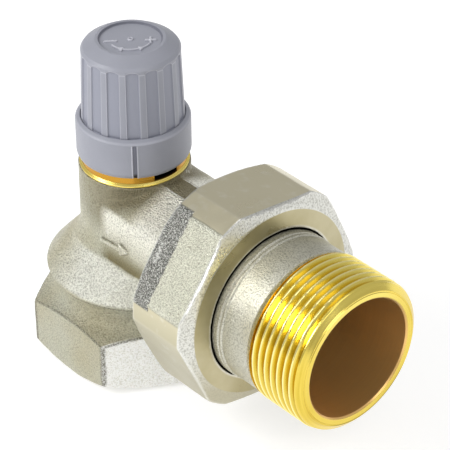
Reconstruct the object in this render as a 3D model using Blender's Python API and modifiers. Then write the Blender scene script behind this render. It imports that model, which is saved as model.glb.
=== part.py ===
"""Angle thermostatic radiator valve, 1 inch size.

Axes: +Z runs up the spindle, +X out of the outlet, and the origin is the centre
of the inlet's end face.  All lengths are in metres.
"""
import math

import bpy
import bmesh
from mathutils import Matrix, Vector

# ------------------------------------------------------ general settings ----
GAP = 0.0003                    # clearance between touching pieces
PAST = 0.0010                   # how far a cutting shape runs past a face
SLIGHT = 0.0001                 # offset that keeps two faces from coinciding
ROUND = 40                      # steps round a large turned piece
FINE = 24                       # steps round a small turned piece
THREAD_STEPS = 36               # steps in one turn of a thread

OUTLET_Z = 0.0318               # height of the outlet axis above the inlet face
PIPE_OD = 0.03325               # 1 inch pipe thread, outside diameter
THREAD_PITCH = 0.00175          # spacing of the tail's thread
THREAD_DEPTH = 0.0011
UNION_R = 0.02095               # G 1 1/4 thread under the union nut

# ------------------------------------------------------------ body sizes ----
HEX_AF = 0.0400                 # spanner flats at the inlet
HEX_TOP = 0.0124                # height of the flats at their corners
HEX_CONE = 0.0015               # rise of the turned cone between corner and flat
HEX_FOOT = 0.0020               # height of the lower chamfer at the corners

NECK_R = 0.0119
NECK_TOP = 0.0461
NECK_FOOT = 0.0320              # where the neck starts to spread
SHOULDER_R = 0.0141             # top of the seat chamber's conical shoulder
SHOULDER_Z = 0.0275
BULB_R = 0.0197                 # rim of the seat chamber
RIM_Z = 0.0210
LEDGE_Z = 0.0203                # underside of the rim
WAIST_R = 0.0180                # plain cylinder between rim and hexagon
WAIST_FOOT = 0.0110

BRANCH_HALF = 0.0126            # side walls of the outlet branch
BRANCH_TOP = 0.0460
BRANCH_RIDGE = 0.0025           # half width of the flat along the branch's top
BRANCH_SHOULDER = 0.0417        # height where the side walls turn inwards
BRANCH_FOOT = 0.0262            # lower edge of the side walls
BELLY_R = 0.0142                # round underside of the branch
BELLY_Z = 0.0240
SKIRT_CREASE = 0.0293           # the skirt leaves the branch's walls at this height
SKIRT_SLOPE = 0.8               # how far it spreads for each unit it falls
BODY_END = 0.0356               # outlet end face of the body
SPIGOT_START = 0.0243
SPIGOT_CONE = 0.0030            # run-out behind the union thread
WATERWAY_R = 0.0100

SEAT_Z = 0.0197
SEAT_R = 0.0098
SEAT_BORE_R = 0.0078
SEAT_LIP = 0.0009               # depth of the seat's raised lip
SEAT_WEB = 0.0022               # thickness of the wall that carries the seat
CHAMBER_R = 0.0150
CHAMBER_WIDE_Z = 0.0232         # the chamber narrows above this height
CHAMBER_NECK_R = 0.0106
CHAMBER_NECK_Z = 0.0282
CHAMBER_TOP_Z = 0.0310
SOCKET_DEPTH = 0.0128           # thread length in the inlet

# ---------------------------------------------------- insert and the stem ----
STROKE = 0.0026                 # lift of the cone above its closed place
INSERT_R = 0.0083               # screwed shank of the insert
INSERT_BORE_R = 0.0062
INSERT_FOOT = 0.0342
INSERT_TOP = 0.0530
RING_Z = 0.0464                 # underside of the brass ring below the cap
RING_R = 0.01165
RING_BEVEL = 0.00045
SNAP_R = 0.0111                 # plain wall above the ring
SNAP_TOP = 0.0486
SNAP_GROOVE_R = 0.0104
SNAP_LIP_R = 0.0112
SLOT_ANGLES = (-2.5, 177.5)     # slots that key a sensor, in degrees about +Z
SLOT_SIZE = (0.0030, 0.0058, 0.0014)
SLOT_Z = 0.0476
SPRING_SEAT = 0.0360
SPRING_TURNS = 3.5
SPRING_R = 0.0042
WIRE_R = 0.00035

PIN_R = 0.0015
PIN_TOP = 0.0586
SPINDLE_R = 0.0022
SPINDLE_TOP = 0.0442
SPINDLE_TIP_R = 0.0018
CLIP_GROOVE = (0.0004, 0.0010)  # below the spindle's top
CUP_R = 0.0058
CUP_DROP = 0.0013               # top of the spring cup below the spindle's top
CUP_WALL = 0.0006
FLANGE_R = 0.0036               # spindle's flange over the cone
FLANGE_Z = (0.0257, 0.0266)
CONE_R = 0.0097
CONE_HEIGHT = 0.0027
CONE_RIM = 0.0018               # height of the cone's plain edge
SEAL_HEIGHT = 0.0009
NUT_FLANGE_R = 0.0060           # nut under the seal
NUT_HEIGHT = 0.0022

GLAND_TOP = 0.0552
GLAND_FOOT = 0.0448
GLAND_R = 0.0058
GLAND_HEAD_AF = 0.0098
GLAND_HEAD_Z = (0.0534, 0.0556)
O_RING_GROOVE = (0.0462, 0.0476)
PACKING_R = 0.0029              # outside of the seal and guide round the pin
PACKING_TOP = 0.0505

# -------------------------------------------------------------- cap sizes ----
FRONT = math.radians(-38.4)     # angle of the collar's slit and of one flute
COLLAR_R = 0.0121
COLLAR_WALL = 0.0006
COLLAR_BOTTOM = 0.0486
COLLAR_TOP = 0.0570
COLLAR_FLOOR = 0.0553           # underside of the collar's inner floor
FLOOR_THICK = 0.0009
FLOOR_DISH = 0.0020
GUIDE_R = (0.0058, 0.0074)      # tube that keeps the plunger from turning
GUIDE_TOP = 0.0590
SLIT = (0.0006, 0.0012, 0.0090)
KNOB_R = 0.0109                 # at the foot of the knob
KNOB_RIM_R = 0.01035
KNOB_FOOT = 0.0574
KNOB_TOP = 0.0753
KNOB_WALL = 0.0015
KNOB_LIP = 0.0005               # lip that holds the knob in the collar
KNOB_LIP_Z = 0.0565
ROOF = 0.0022                   # thickness of the knob's top
RECESS_R = 0.0066
RECESS_DEPTH = 0.0005
RIM_DROP = 0.0022               # the knob's rim below its top
FLUTES = 16
FLUTE_HALF = 0.00143
FLUTE_DEPTH = 0.0004
FLUTE_TOP = 0.0728
BOSS_R = (0.0034, 0.0046)       # threaded boss inside the knob
BOSS_FOOT = 0.0620
PLUNGER_AF = 0.0106
PLUNGER_Z = (0.0589, 0.0612)
PLUNGER_TOP = 0.0695

# ------------------------------------------------------------ union sizes ----
NUT_AF = 0.0444
NUT_BAND_R = 0.02415            # corners turned down to this radius
NUT_BACK = 0.0265
NUT_FRONT = 0.0431
NUT_FACE_R = 0.0210             # outer edge of the turned front face
NUT_TILT = math.radians(54)     # angle of one corner, seen along the outlet
NUT_HOLE_R = 0.01685
NUT_SHOULDER = 0.0402

TAIL_R = 0.01650
TAIL_BEAD = 0.0002              # step of the plain collar next to the nut
TAIL_BEAD_END = 0.0454
TAIL_BORE_R = 0.01315
TAIL_CORE_R = 0.0146
TAIL_COLLAR_R = 0.0203
TAIL_COLLAR_BACK = 0.0376
THREAD_START = 0.0541
TAIL_END = 0.0682
LAND_R = 0.0162                 # chamfered land beyond the last thread
LAND_CHAMFER = 0.0011
LAND_BACK = 0.0014
KEY_LUG = (0.0080, 0.0026, 0.0030)
KEY_LUG_X = 0.0446
SEAL_R = (0.0194, 0.0152)


# -------------------------------------------------------------- helpers ----
def new_collection(name):
    group = bpy.data.collections.new(name)
    bpy.context.scene.collection.children.link(group)
    return group


for leftover in list(bpy.data.objects):
    bpy.data.objects.remove(leftover)
PARTS = new_collection("thermostatic_radiator_valve")
CUTTERS = new_collection("cutters")


def material(name, colour, metallic, roughness):
    made = bpy.data.materials.new(name)
    made.use_nodes = True
    shader = made.node_tree.nodes["Principled BSDF"]
    shader.inputs["Base Color"].default_value = (*colour, 1.0)
    shader.inputs["Metallic"].default_value = metallic
    shader.inputs["Roughness"].default_value = roughness
    made.diffuse_color = (*colour, 1.0)
    return made


def give(obj, look):
    obj.data.materials.append(look)


def place(name, mesh, group):
    obj = bpy.data.objects.new(name, mesh)
    group.objects.link(obj)
    if group is CUTTERS:
        obj.hide_render = True
        obj.display_type = "WIRE"
    return obj


def along_outlet(obj):
    """Turn a piece modelled about Z so that its axis is the outlet's."""
    obj.rotation_euler = (0.0, math.pi / 2, 0.0)
    obj.location = (0.0, 0.0, OUTLET_Z)


def turned(name, profile, group, steps=ROUND, closed=False, outlet=False):
    """Turn a profile of (radius, height), listed down its outer side."""
    mesh = bpy.data.meshes.new(name)
    shape = bmesh.new()
    corners = [shape.verts.new((radius, 0.0, height)) for radius, height in profile]
    for first, second in zip(corners, corners[1:]):
        shape.edges.new((first, second))
    if closed:
        shape.edges.new((corners[-1], corners[0]))
    shape.to_mesh(mesh)
    shape.free()
    obj = place(name, mesh, group)
    screw = obj.modifiers.new("turn", "SCREW")
    screw.axis = "Z"
    screw.steps = steps
    screw.render_steps = steps
    screw.use_merge_vertices = True
    screw.merge_threshold = 0.00001
    screw.use_smooth_shade = True
    if outlet:
        along_outlet(obj)
    return obj


def ring(name, outer, inner, low, high, group, steps=FINE, outlet=False):
    profile = [(outer, high), (outer, low), (inner, low), (inner, high)]
    return turned(name, profile, group, steps, closed=True, outlet=outlet)


def rod(name, radius, low, high, group):
    profile = [(0.0, high), (radius, high), (radius, low), (0.0, low)]
    return turned(name, profile, group, FINE)


def o_ring(name, middle_r, section_r, height):
    sides = 8
    loop = []
    for i in range(sides):
        angle = -2 * math.pi * (i + 0.5) / sides
        loop.append((middle_r + section_r * math.cos(angle), height + section_r * math.sin(angle)))
    return turned(name, loop, PARTS, FINE, closed=True)


def solid_from_curve(name, guide, group):
    """Make a closed mesh object from a curve object, and remove the curve."""
    bpy.context.view_layer.update()
    graph = bpy.context.evaluated_depsgraph_get()
    mesh = bpy.data.meshes.new_from_object(guide.evaluated_get(graph))
    mesh.transform(guide.matrix_world)
    shape = bmesh.new()
    shape.from_mesh(mesh)
    bmesh.ops.remove_doubles(shape, verts=shape.verts, dist=0.000001)
    bmesh.ops.recalc_face_normals(shape, faces=shape.faces)
    shape.to_mesh(mesh)
    shape.free()
    mesh.materials.clear()
    bpy.data.objects.remove(guide)
    return place(name, mesh, group)


def prism(name, corners, low, high, group):
    """Extrude a flat outline of (x, y) from low to high along Z."""
    curve = bpy.data.curves.new(name, "CURVE")
    curve.dimensions = "2D"
    curve.fill_mode = "BOTH"
    curve.extrude = (high - low) / 2
    line = curve.splines.new("POLY")
    line.points.add(len(corners) - 1)
    for point, (x, y) in zip(line.points, corners):
        point.co = (x, y, 0.0, 1.0)
    line.use_cyclic_u = True
    guide = bpy.data.objects.new(name + "_curve", curve)
    bpy.context.scene.collection.objects.link(guide)
    guide.location = (0.0, 0.0, (high + low) / 2)
    return solid_from_curve(name, guide, group)


def hexagon(across_flats, first_corner=0.0):
    corner_r = across_flats / math.sqrt(3)
    angles = [first_corner + math.radians(60) * i for i in range(6)]
    return [(corner_r * math.cos(angle), corner_r * math.sin(angle)) for angle in angles]


def block(name, size, centre, turn=0.0):
    """A box cutter, turned about +Z after it is set in place."""
    mesh = bpy.data.meshes.new(name)
    shape = bmesh.new()
    bmesh.ops.create_cube(shape, size=1.0)
    bmesh.ops.scale(shape, vec=Vector(size), verts=shape.verts)
    bmesh.ops.translate(shape, vec=Vector(centre), verts=shape.verts)
    bmesh.ops.rotate(shape, matrix=Matrix.Rotation(turn, 3, "Z"), verts=shape.verts)
    shape.to_mesh(mesh)
    shape.free()
    return place(name, mesh, CUTTERS)


def boolean(target, tool, operation="DIFFERENCE"):
    change = target.modifiers.new(tool.name, "BOOLEAN")
    change.operation = operation
    change.solver = "EXACT"
    change.object = tool


# ----------------------------------------------------------- valve body ----
def neck_and_bulb():
    """Neck, conical shoulder and rim of the seat chamber, down to the waist."""
    profile = [
        (0.0, NECK_TOP),
        (NECK_R, NECK_TOP),
        (NECK_R, NECK_FOOT),
        (NECK_R + 0.0004, NECK_FOOT - 0.0015),
        (SHOULDER_R - 0.0010, SHOULDER_Z + 0.0015),
        (SHOULDER_R, SHOULDER_Z),
        (BULB_R - 0.0003, RIM_Z + 0.0005),
        (BULB_R, RIM_Z),
        (BULB_R - 0.0011, LEDGE_Z),
        (WAIST_R, LEDGE_Z - 0.0018),
        (WAIST_R, WAIST_FOOT),
        (0.0, WAIST_FOOT),
    ]
    return turned("valve_body", profile, PARTS)


def inlet_hexagon():
    """Spanner flats of the inlet, turned to a cone at both ends."""
    flats = prism("inlet_hexagon", hexagon(HEX_AF), -PAST, LEDGE_Z - PAST, CUTTERS)
    corner_r = HEX_AF / math.sqrt(3)
    slope = HEX_CONE / (corner_r - HEX_AF / 2)
    tip_r = WAIST_R - 0.0006
    edge_r = corner_r + 0.0002
    cones = [
        (0.0, HEX_TOP + slope * (corner_r - tip_r)),
        (tip_r, HEX_TOP + slope * (corner_r - tip_r)),
        (edge_r, HEX_TOP + slope * (corner_r - edge_r)),
        (edge_r, HEX_FOOT),
        (HEX_AF / 2 - GAP, 0.0),
        (0.0, 0.0),
    ]
    boolean(flats, turned("inlet_cones", cones, CUTTERS), "INTERSECT")
    return flats


def outlet_branch():
    """Straight-sided branch, modelled standing up and laid along the outlet."""
    ridge = OUTLET_Z - BRANCH_TOP
    shoulder = OUTLET_Z - BRANCH_SHOULDER
    foot = OUTLET_Z - BRANCH_FOOT
    outline = [
        (ridge, -BRANCH_RIDGE),
        (ridge, BRANCH_RIDGE),
        (shoulder, BRANCH_HALF),
        (foot, BRANCH_HALF),
        (foot, -BRANCH_HALF),
        (shoulder, -BRANCH_HALF),
    ]
    branch = prism("outlet_branch", outline, 0.0, SPIGOT_START + PAST, CUTTERS)
    along_outlet(branch)
    return branch


def branch_belly():
    """Round underside of the branch, cut off level with the bulb's ledge."""
    end = SPIGOT_START + PAST / 2
    profile = [(0.0, end), (BELLY_R, end), (BELLY_R, 0.0), (0.0, 0.0)]
    belly = turned("branch_belly", profile, CUTTERS, outlet=True)
    belly.location.z = BELLY_Z
    floor_top = LEDGE_Z + SLIGHT
    floor_height = 0.020
    floor = block("belly_floor", (0.060, 0.060, floor_height), (0.012, 0.0, floor_top - floor_height / 2))
    boolean(belly, floor)
    return belly


def bulb_skirt():
    """Sloping sides that carry the bulb's shoulder along the branch."""
    outline = []
    for height in (SKIRT_CREASE + 0.0017, LEDGE_Z + 2 * SLIGHT):
        half = BRANCH_HALF + (SKIRT_CREASE - height) * SKIRT_SLOPE
        outline.append((OUTLET_Z - height, half))
    outline += [(down, -half) for down, half in reversed(outline)]
    skirt = prism("bulb_skirt", outline, 0.0, BULB_R + GAP, CUTTERS)
    along_outlet(skirt)
    radius = BULB_R - SLIGHT
    rounding = [(0.0, NECK_FOOT), (radius, NECK_FOOT), (radius, WAIST_FOOT), (0.0, WAIST_FOOT)]
    boolean(skirt, turned("skirt_rounding", rounding, CUTTERS), "INTERSECT")
    return skirt


def valve_body(look):
    body = neck_and_bulb()
    boolean(body, inlet_hexagon(), "UNION")
    boolean(body, outlet_branch(), "UNION")
    boolean(body, branch_belly(), "UNION")
    boolean(body, bulb_skirt(), "UNION")
    spigot = [
        (0.0, BODY_END),
        (UNION_R - 0.0012, BODY_END),
        (UNION_R, BODY_END - 0.0010),
        (UNION_R, SPIGOT_START + SPIGOT_CONE),
        (UNION_R - SPIGOT_CONE, SPIGOT_START),
        (0.0, SPIGOT_START),
    ]
    boolean(body, turned("union_spigot", spigot, CUTTERS, outlet=True), "UNION")

    socket_r = PIPE_OD / 2 - 0.0013
    relief_r = socket_r - 0.0028
    lead_in = 0.0018
    inlet = [
        (0.0, SEAT_Z + PAST),
        (SEAT_BORE_R, SEAT_Z + PAST),
        (SEAT_BORE_R, SEAT_Z - SEAT_WEB),
        (relief_r, SEAT_Z - SEAT_WEB - 0.0020),
        (relief_r, SOCKET_DEPTH + 0.0012),
        (socket_r, SOCKET_DEPTH),
        (socket_r, lead_in - 0.0005),
        (socket_r + lead_in, -0.0005),
        (0.0, -0.0005),
    ]
    boolean(body, turned("inlet_bore", inlet, CUTTERS))
    chamber = [
        (0.0, NECK_TOP + PAST),
        (INSERT_R + GAP, NECK_TOP + PAST),
        (INSERT_R + GAP, CHAMBER_TOP_Z),
        (CHAMBER_NECK_R, CHAMBER_NECK_Z),
        (CHAMBER_R, CHAMBER_WIDE_Z),
        (CHAMBER_R, SEAT_Z - SEAT_LIP),
        (SEAT_R, SEAT_Z - SEAT_LIP),
        (SEAT_R, SEAT_Z),
        (0.0, SEAT_Z),
    ]
    boolean(body, turned("seat_chamber", chamber, CUTTERS))
    mouth_r = 1.5 * WATERWAY_R
    waterway = [
        (0.0, BODY_END + PAST),
        (mouth_r, BODY_END + PAST),
        (mouth_r, BODY_END - 0.0030),
        (WATERWAY_R, SPIGOT_START - GAP),
        (WATERWAY_R, WATERWAY_R),
        (0.0, WATERWAY_R),
    ]
    boolean(body, turned("outlet_waterway", waterway, CUTTERS, outlet=True))
    give(body, look)


# --------------------------------------------------- insert and its stem ----
def insert_housing(look):
    """Brass insert: screwed shank, visible ring, and the snap neck for a sensor."""
    profile = [
        (INSERT_BORE_R, INSERT_TOP),
        (SNAP_GROOVE_R, INSERT_TOP),
        (SNAP_LIP_R, INSERT_TOP - 0.0008),
        (SNAP_LIP_R, SNAP_TOP + 0.0030),
        (SNAP_GROOVE_R, SNAP_TOP + 0.0022),
        (SNAP_GROOVE_R, SNAP_TOP + 0.0008),
        (SNAP_R, SNAP_TOP),
        (SNAP_R, RING_Z + RING_BEVEL),
        (RING_R, RING_Z + SLIGHT),
        (RING_R, RING_Z),
        (INSERT_R, RING_Z),
        (INSERT_R, INSERT_FOOT + 0.0008),
        (INSERT_R - 0.0008, INSERT_FOOT),
        (SPINDLE_R + GAP + SLIGHT, INSERT_FOOT),
        (SPINDLE_R + GAP + SLIGHT, SPRING_SEAT),
        (INSERT_BORE_R, SPRING_SEAT),
    ]
    housing = turned("insert_housing", profile, PARTS, closed=True)
    for index, angle in enumerate(SLOT_ANGLES):
        centre = (SNAP_R + GAP, 0.0, SLOT_Z)
        boolean(housing, block("key_slot_%d" % index, SLOT_SIZE, centre, math.radians(angle)))
    give(housing, look)


def gland(look):
    """Gland screwed in the insert, with room for a seal and a guide inside."""
    pin_bore = PIN_R + GAP + SLIGHT
    packing_bore = PACKING_R + GAP
    neck_r = GLAND_HEAD_AF / 2 - 0.0005
    groove_r = GLAND_R - 0.0010
    profile = [
        (pin_bore, GLAND_TOP),
        (neck_r - 0.0004, GLAND_TOP),
        (neck_r, GLAND_TOP - 0.0004),
        (neck_r, GLAND_TOP - 0.0016),
        (GLAND_R, GLAND_TOP - 0.0016),
        (GLAND_R, O_RING_GROOVE[1]),
        (groove_r, O_RING_GROOVE[1]),
        (groove_r, O_RING_GROOVE[0]),
        (GLAND_R, O_RING_GROOVE[0]),
        (GLAND_R, GLAND_FOOT),
        (packing_bore, GLAND_FOOT),
        (packing_bore, PACKING_TOP),
        (pin_bore, PACKING_TOP),
    ]
    nut = turned("gland_nut", profile, PARTS, FINE, closed=True)
    low, high = GLAND_HEAD_Z
    head = prism("gland_head", hexagon(GLAND_HEAD_AF), low, high, CUTTERS)
    boolean(head, rod("gland_hole", packing_bore - 0.0002, low - PAST, high + PAST, CUTTERS))
    boolean(nut, head, "UNION")
    give(nut, look)


def packing(rubber, plastic):
    """Seals and guide round the pressure pin."""
    section_r = 0.00035
    middle_z = sum(O_RING_GROOVE) / 2
    give(o_ring("gland_o_ring", GLAND_R - section_r - SLIGHT, section_r, middle_z), rubber)
    bore = PIN_R + GAP
    split = GLAND_FOOT + 0.0022
    give(ring("pin_seal", PACKING_R, bore, split, split + 0.0018, PARTS), rubber)
    give(ring("pin_guide", PACKING_R, bore, GLAND_FOOT + 0.0004, split - GAP, PARTS), plastic)


def stem(steel, brass, rubber):
    """Everything that is pushed down together to close the valve."""
    pin_foot = SPINDLE_TOP + GAP
    pin = [
        (0.0, PIN_TOP),
        (PIN_R - 0.0004, PIN_TOP),
        (PIN_R, PIN_TOP - 0.0004),
        (PIN_R, pin_foot),
        (0.0, pin_foot),
    ]
    give(turned("pressure_pin", pin, PARTS, FINE), steel)

    low = SEAT_Z + GAP + STROKE
    groove_top = SPINDLE_TOP - CLIP_GROOVE[0]
    groove_foot = SPINDLE_TOP - CLIP_GROOVE[1]
    groove_r = SPINDLE_R - 0.0008
    spindle = [
        (0.0, SPINDLE_TOP),
        (SPINDLE_R, SPINDLE_TOP),
        (SPINDLE_R, groove_top),
        (groove_r, groove_top),
        (groove_r, groove_foot),
        (SPINDLE_R, groove_foot),
        (SPINDLE_R, FLANGE_Z[1]),
        (FLANGE_R, FLANGE_Z[1]),
        (FLANGE_R, FLANGE_Z[0]),
        (SPINDLE_TIP_R, FLANGE_Z[0]),
        (SPINDLE_TIP_R, low - 0.0030),
        (0.0, low - 0.0030),
    ]
    give(turned("spindle", spindle, PARTS, FINE), steel)
    shrink = SLIGHT / 2
    clip_z = (groove_foot + shrink, groove_top - shrink)
    clip = ring("spring_clip", FLANGE_R - 0.0002, groove_r + GAP, *clip_z, PARTS)
    give(clip, steel)

    cup_top = SPINDLE_TOP - CUP_DROP
    cup_floor = cup_top - 0.0008
    cup_edge = cup_top - 0.0015
    cup = [
        (CUP_R, cup_top),
        (CUP_R, cup_edge),
        (CUP_R - CUP_WALL, cup_edge),
        (CUP_R - CUP_WALL, cup_floor),
        (SPINDLE_R + GAP, cup_floor),
        (SPINDLE_R + GAP, cup_top),
    ]
    give(turned("spring_cup", cup, PARTS, FINE, closed=True), steel)

    bore = SPINDLE_TIP_R + GAP
    seal_r = CONE_R - 0.0010
    cone = [
        (bore, low + CONE_HEIGHT),
        (SEAT_BORE_R, low + CONE_HEIGHT),
        (CONE_R, low + CONE_RIM),
        (CONE_R, low - SLIGHT),
        (seal_r + GAP, low - SLIGHT),
        (seal_r + GAP, low + SEAL_HEIGHT + GAP),
        (bore, low + SEAL_HEIGHT + GAP),
    ]
    give(turned("valve_cone", cone, PARTS, FINE, closed=True), brass)
    give(ring("seat_seal", seal_r, bore, low, low + SEAL_HEIGHT, PARTS), rubber)
    nut_top = low - GAP
    nut_foot = low - NUT_HEIGHT
    holder = [
        (bore, nut_top),
        (NUT_FLANGE_R, nut_top),
        (NUT_FLANGE_R, nut_top - 0.0005),
        (FLANGE_R, nut_foot),
        (bore, nut_foot),
    ]
    give(turned("cone_nut", holder, PARTS, FINE, closed=True), brass)


def return_spring(look):
    low = SPRING_SEAT + GAP
    high = SPINDLE_TOP - CUP_DROP - 0.0011
    curve = bpy.data.curves.new("return_spring", "CURVE")
    curve.dimensions = "3D"
    curve.bevel_depth = WIRE_R
    curve.bevel_resolution = 1
    curve.use_fill_caps = True
    line = curve.splines.new("POLY")
    steps = int(SPRING_TURNS * 14)
    line.points.add(steps)
    for i, point in enumerate(line.points):
        angle = 2 * math.pi * SPRING_TURNS * i / steps
        height = low + WIRE_R + (high - low - 2 * WIRE_R) * i / steps
        point.co = (SPRING_R * math.cos(angle), SPRING_R * math.sin(angle), height, 1.0)
    guide = bpy.data.objects.new("spring_path", curve)
    bpy.context.scene.collection.objects.link(guide)
    give(solid_from_curve("return_spring", guide, PARTS), look)


# ------------------------------------------------------------------ cap ----
def cap_collar(look):
    """Sleeve that snaps over the insert's neck and carries the knob."""
    lip_r = KNOB_R + GAP
    inner_r = COLLAR_R - COLLAR_WALL
    knob_room_r = KNOB_R + KNOB_LIP + GAP
    guide_in, guide_out = GUIDE_R
    profile = [
        (lip_r, COLLAR_TOP + 0.0007),
        (COLLAR_R - GAP, COLLAR_TOP + SLIGHT),
        (COLLAR_R, COLLAR_TOP - GAP),
        (COLLAR_R, COLLAR_BOTTOM + 0.0006),
        (COLLAR_R - 0.0005, COLLAR_BOTTOM),
        (inner_r, COLLAR_BOTTOM),
        (inner_r, COLLAR_FLOOR - FLOOR_DISH),
        (guide_in, COLLAR_FLOOR),
        (guide_in, GUIDE_TOP),
        (guide_out, GUIDE_TOP),
        (guide_out, COLLAR_FLOOR + FLOOR_THICK),
        (knob_room_r, COLLAR_FLOOR + FLOOR_THICK),
        (knob_room_r, COLLAR_TOP + SLIGHT),
        (lip_r, COLLAR_TOP + SLIGHT),
    ]
    collar = turned("cap_collar", profile, PARTS, closed=True)
    guide_hole = hexagon(PLUNGER_AF + 2 * GAP)
    boolean(collar, prism("plunger_guide", guide_hole, COLLAR_FLOOR - 0.0013, GUIDE_TOP + PAST, CUTTERS))
    slit_z = COLLAR_BOTTOM + 0.0037
    boolean(collar, block("collar_slit", SLIT, (COLLAR_R + SLIGHT, 0.0, slit_z), FRONT))
    give(collar, look)


def flute_cutters():
    """One mesh of closed, tapered elliptical bars that cut the knob's flutes."""
    mesh = bpy.data.meshes.new("flutes")
    shape = bmesh.new()
    low = KNOB_FOOT - 0.0020
    length = FLUTE_TOP - low
    lean = math.atan2(KNOB_R - KNOB_RIM_R, KNOB_TOP - KNOB_FOOT)
    centre_r = (KNOB_R + KNOB_RIM_R) / 2 + SLIGHT / 2
    for index in range(FLUTES):
        angle = FRONT + 2 * math.pi * index / FLUTES
        made = bmesh.ops.create_cone(
            shape, cap_ends=True, segments=10, radius1=1.0, radius2=1.0, depth=length)
        verts = made["verts"]
        bmesh.ops.scale(shape, vec=Vector((FLUTE_DEPTH, FLUTE_HALF, 1.0)), verts=verts)
        bmesh.ops.rotate(shape, matrix=Matrix.Rotation(-lean, 3, "Y"), verts=verts)
        bmesh.ops.translate(shape, vec=Vector((centre_r, 0.0, low + length / 2)), verts=verts)
        bmesh.ops.rotate(shape, matrix=Matrix.Rotation(angle, 3, "Z"), verts=verts)
    shape.to_mesh(mesh)
    shape.free()
    return place("flutes", mesh, CUTTERS)


def cap_knob(look):
    roof = KNOB_TOP - ROOF
    boss_in, boss_out = BOSS_R
    profile = [
        (0.0, KNOB_TOP - RECESS_DEPTH),
        (RECESS_R, KNOB_TOP - RECESS_DEPTH),
        (RECESS_R, KNOB_TOP),
        (RECESS_R + 0.0006, KNOB_TOP),
        (KNOB_RIM_R - 0.0004, KNOB_TOP - RIM_DROP + 0.0006),
        (KNOB_RIM_R, KNOB_TOP - RIM_DROP),
        (KNOB_R, KNOB_FOOT),
        (KNOB_R, COLLAR_TOP - 0.0002),
        (KNOB_R + KNOB_LIP, COLLAR_TOP - 0.0002),
        (KNOB_R + KNOB_LIP, KNOB_LIP_Z),
        (KNOB_R - KNOB_WALL, KNOB_LIP_Z),
        (KNOB_R - KNOB_WALL, KNOB_FOOT),
        (KNOB_RIM_R - KNOB_WALL, roof),
        (boss_out, roof),
        (boss_out, BOSS_FOOT),
        (boss_in, BOSS_FOOT),
        (boss_in, roof),
        (0.0, roof),
    ]
    knob = turned("cap_knob", profile, PARTS, 48)
    boolean(knob, flute_cutters())
    give(knob, look)


def cap_plunger(look):
    """Hexagonal foot that slides in the collar, on a stem screwed in the knob."""
    plunger = prism("cap_plunger", hexagon(PLUNGER_AF), *PLUNGER_Z, PARTS)
    stem_rod = rod("plunger_stem", BOSS_R[0] - GAP, PLUNGER_Z[1] - 0.0012, PLUNGER_TOP, CUTTERS)
    boolean(plunger, stem_rod, "UNION")
    give(plunger, look)


# ---------------------------------------------------------------- union ----
def union_nut(look):
    nut = prism("union_nut", hexagon(NUT_AF, NUT_TILT + math.pi / 2), NUT_BACK, NUT_FRONT, PARTS)
    along_outlet(nut)
    turning = [
        (0.0, NUT_FRONT + 0.0002),
        (NUT_HOLE_R, NUT_FRONT - SLIGHT),
        (NUT_FACE_R, NUT_FRONT - 0.0005),
        (NUT_BAND_R, NUT_FRONT - 0.0015),
        (NUT_BAND_R, NUT_BACK + 0.0022),
        (NUT_AF / 2 - SLIGHT, NUT_BACK - SLIGHT),
        (0.0, NUT_BACK - SLIGHT),
    ]
    boolean(nut, turned("nut_turning", turning, CUTTERS, outlet=True), "INTERSECT")
    thread_r = UNION_R + GAP + SLIGHT / 2
    bore = [
        (0.0, NUT_FRONT + PAST),
        (NUT_HOLE_R, NUT_FRONT + PAST),
        (NUT_HOLE_R, NUT_SHOULDER),
        (thread_r, NUT_SHOULDER),
        (thread_r, NUT_BACK - PAST),
        (0.0, NUT_BACK - PAST),
    ]
    boolean(nut, turned("nut_bore", bore, CUTTERS, outlet=True))
    give(nut, look)


def threaded_rod(name, crest_r, low, turns):
    """A closed rod whose side is a true helical thread, made by a Screw."""
    root_r = crest_r - THREAD_DEPTH
    form = ((root_r, 1.0), (root_r, 0.92), (crest_r, 0.51), (crest_r, 0.41), (root_r, 0.0))
    profile = [(radius, low + THREAD_PITCH * along) for radius, along in form]
    guide = turned(name + "_guide", profile, CUTTERS, THREAD_STEPS)
    screw = guide.modifiers["turn"]
    screw.screw_offset = THREAD_PITCH
    screw.iterations = turns
    bpy.context.view_layer.update()
    graph = bpy.context.evaluated_depsgraph_get()
    mesh = bpy.data.meshes.new_from_object(guide.evaluated_get(graph))
    bpy.data.objects.remove(guide)

    shape = bmesh.new()
    shape.from_mesh(mesh)
    bmesh.ops.remove_doubles(shape, verts=shape.verts, dist=0.00001)
    length = THREAD_PITCH * (turns + 1)
    lower_tip = shape.verts.new((0.0, 0.0, low - PAST / 2))
    upper_tip = shape.verts.new((0.0, 0.0, low + length + PAST / 2))
    for edge in [edge for edge in shape.edges if edge.is_boundary]:
        first, second = edge.verts
        is_low = max(first.co.z, second.co.z) < low + length / 2
        shape.faces.new((first, second, lower_tip if is_low else upper_tip))
    bmesh.ops.recalc_face_normals(shape, faces=shape.faces)
    shape.to_mesh(mesh)
    shape.free()
    solid = place(name, mesh, CUTTERS)
    along_outlet(solid)
    return solid


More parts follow.
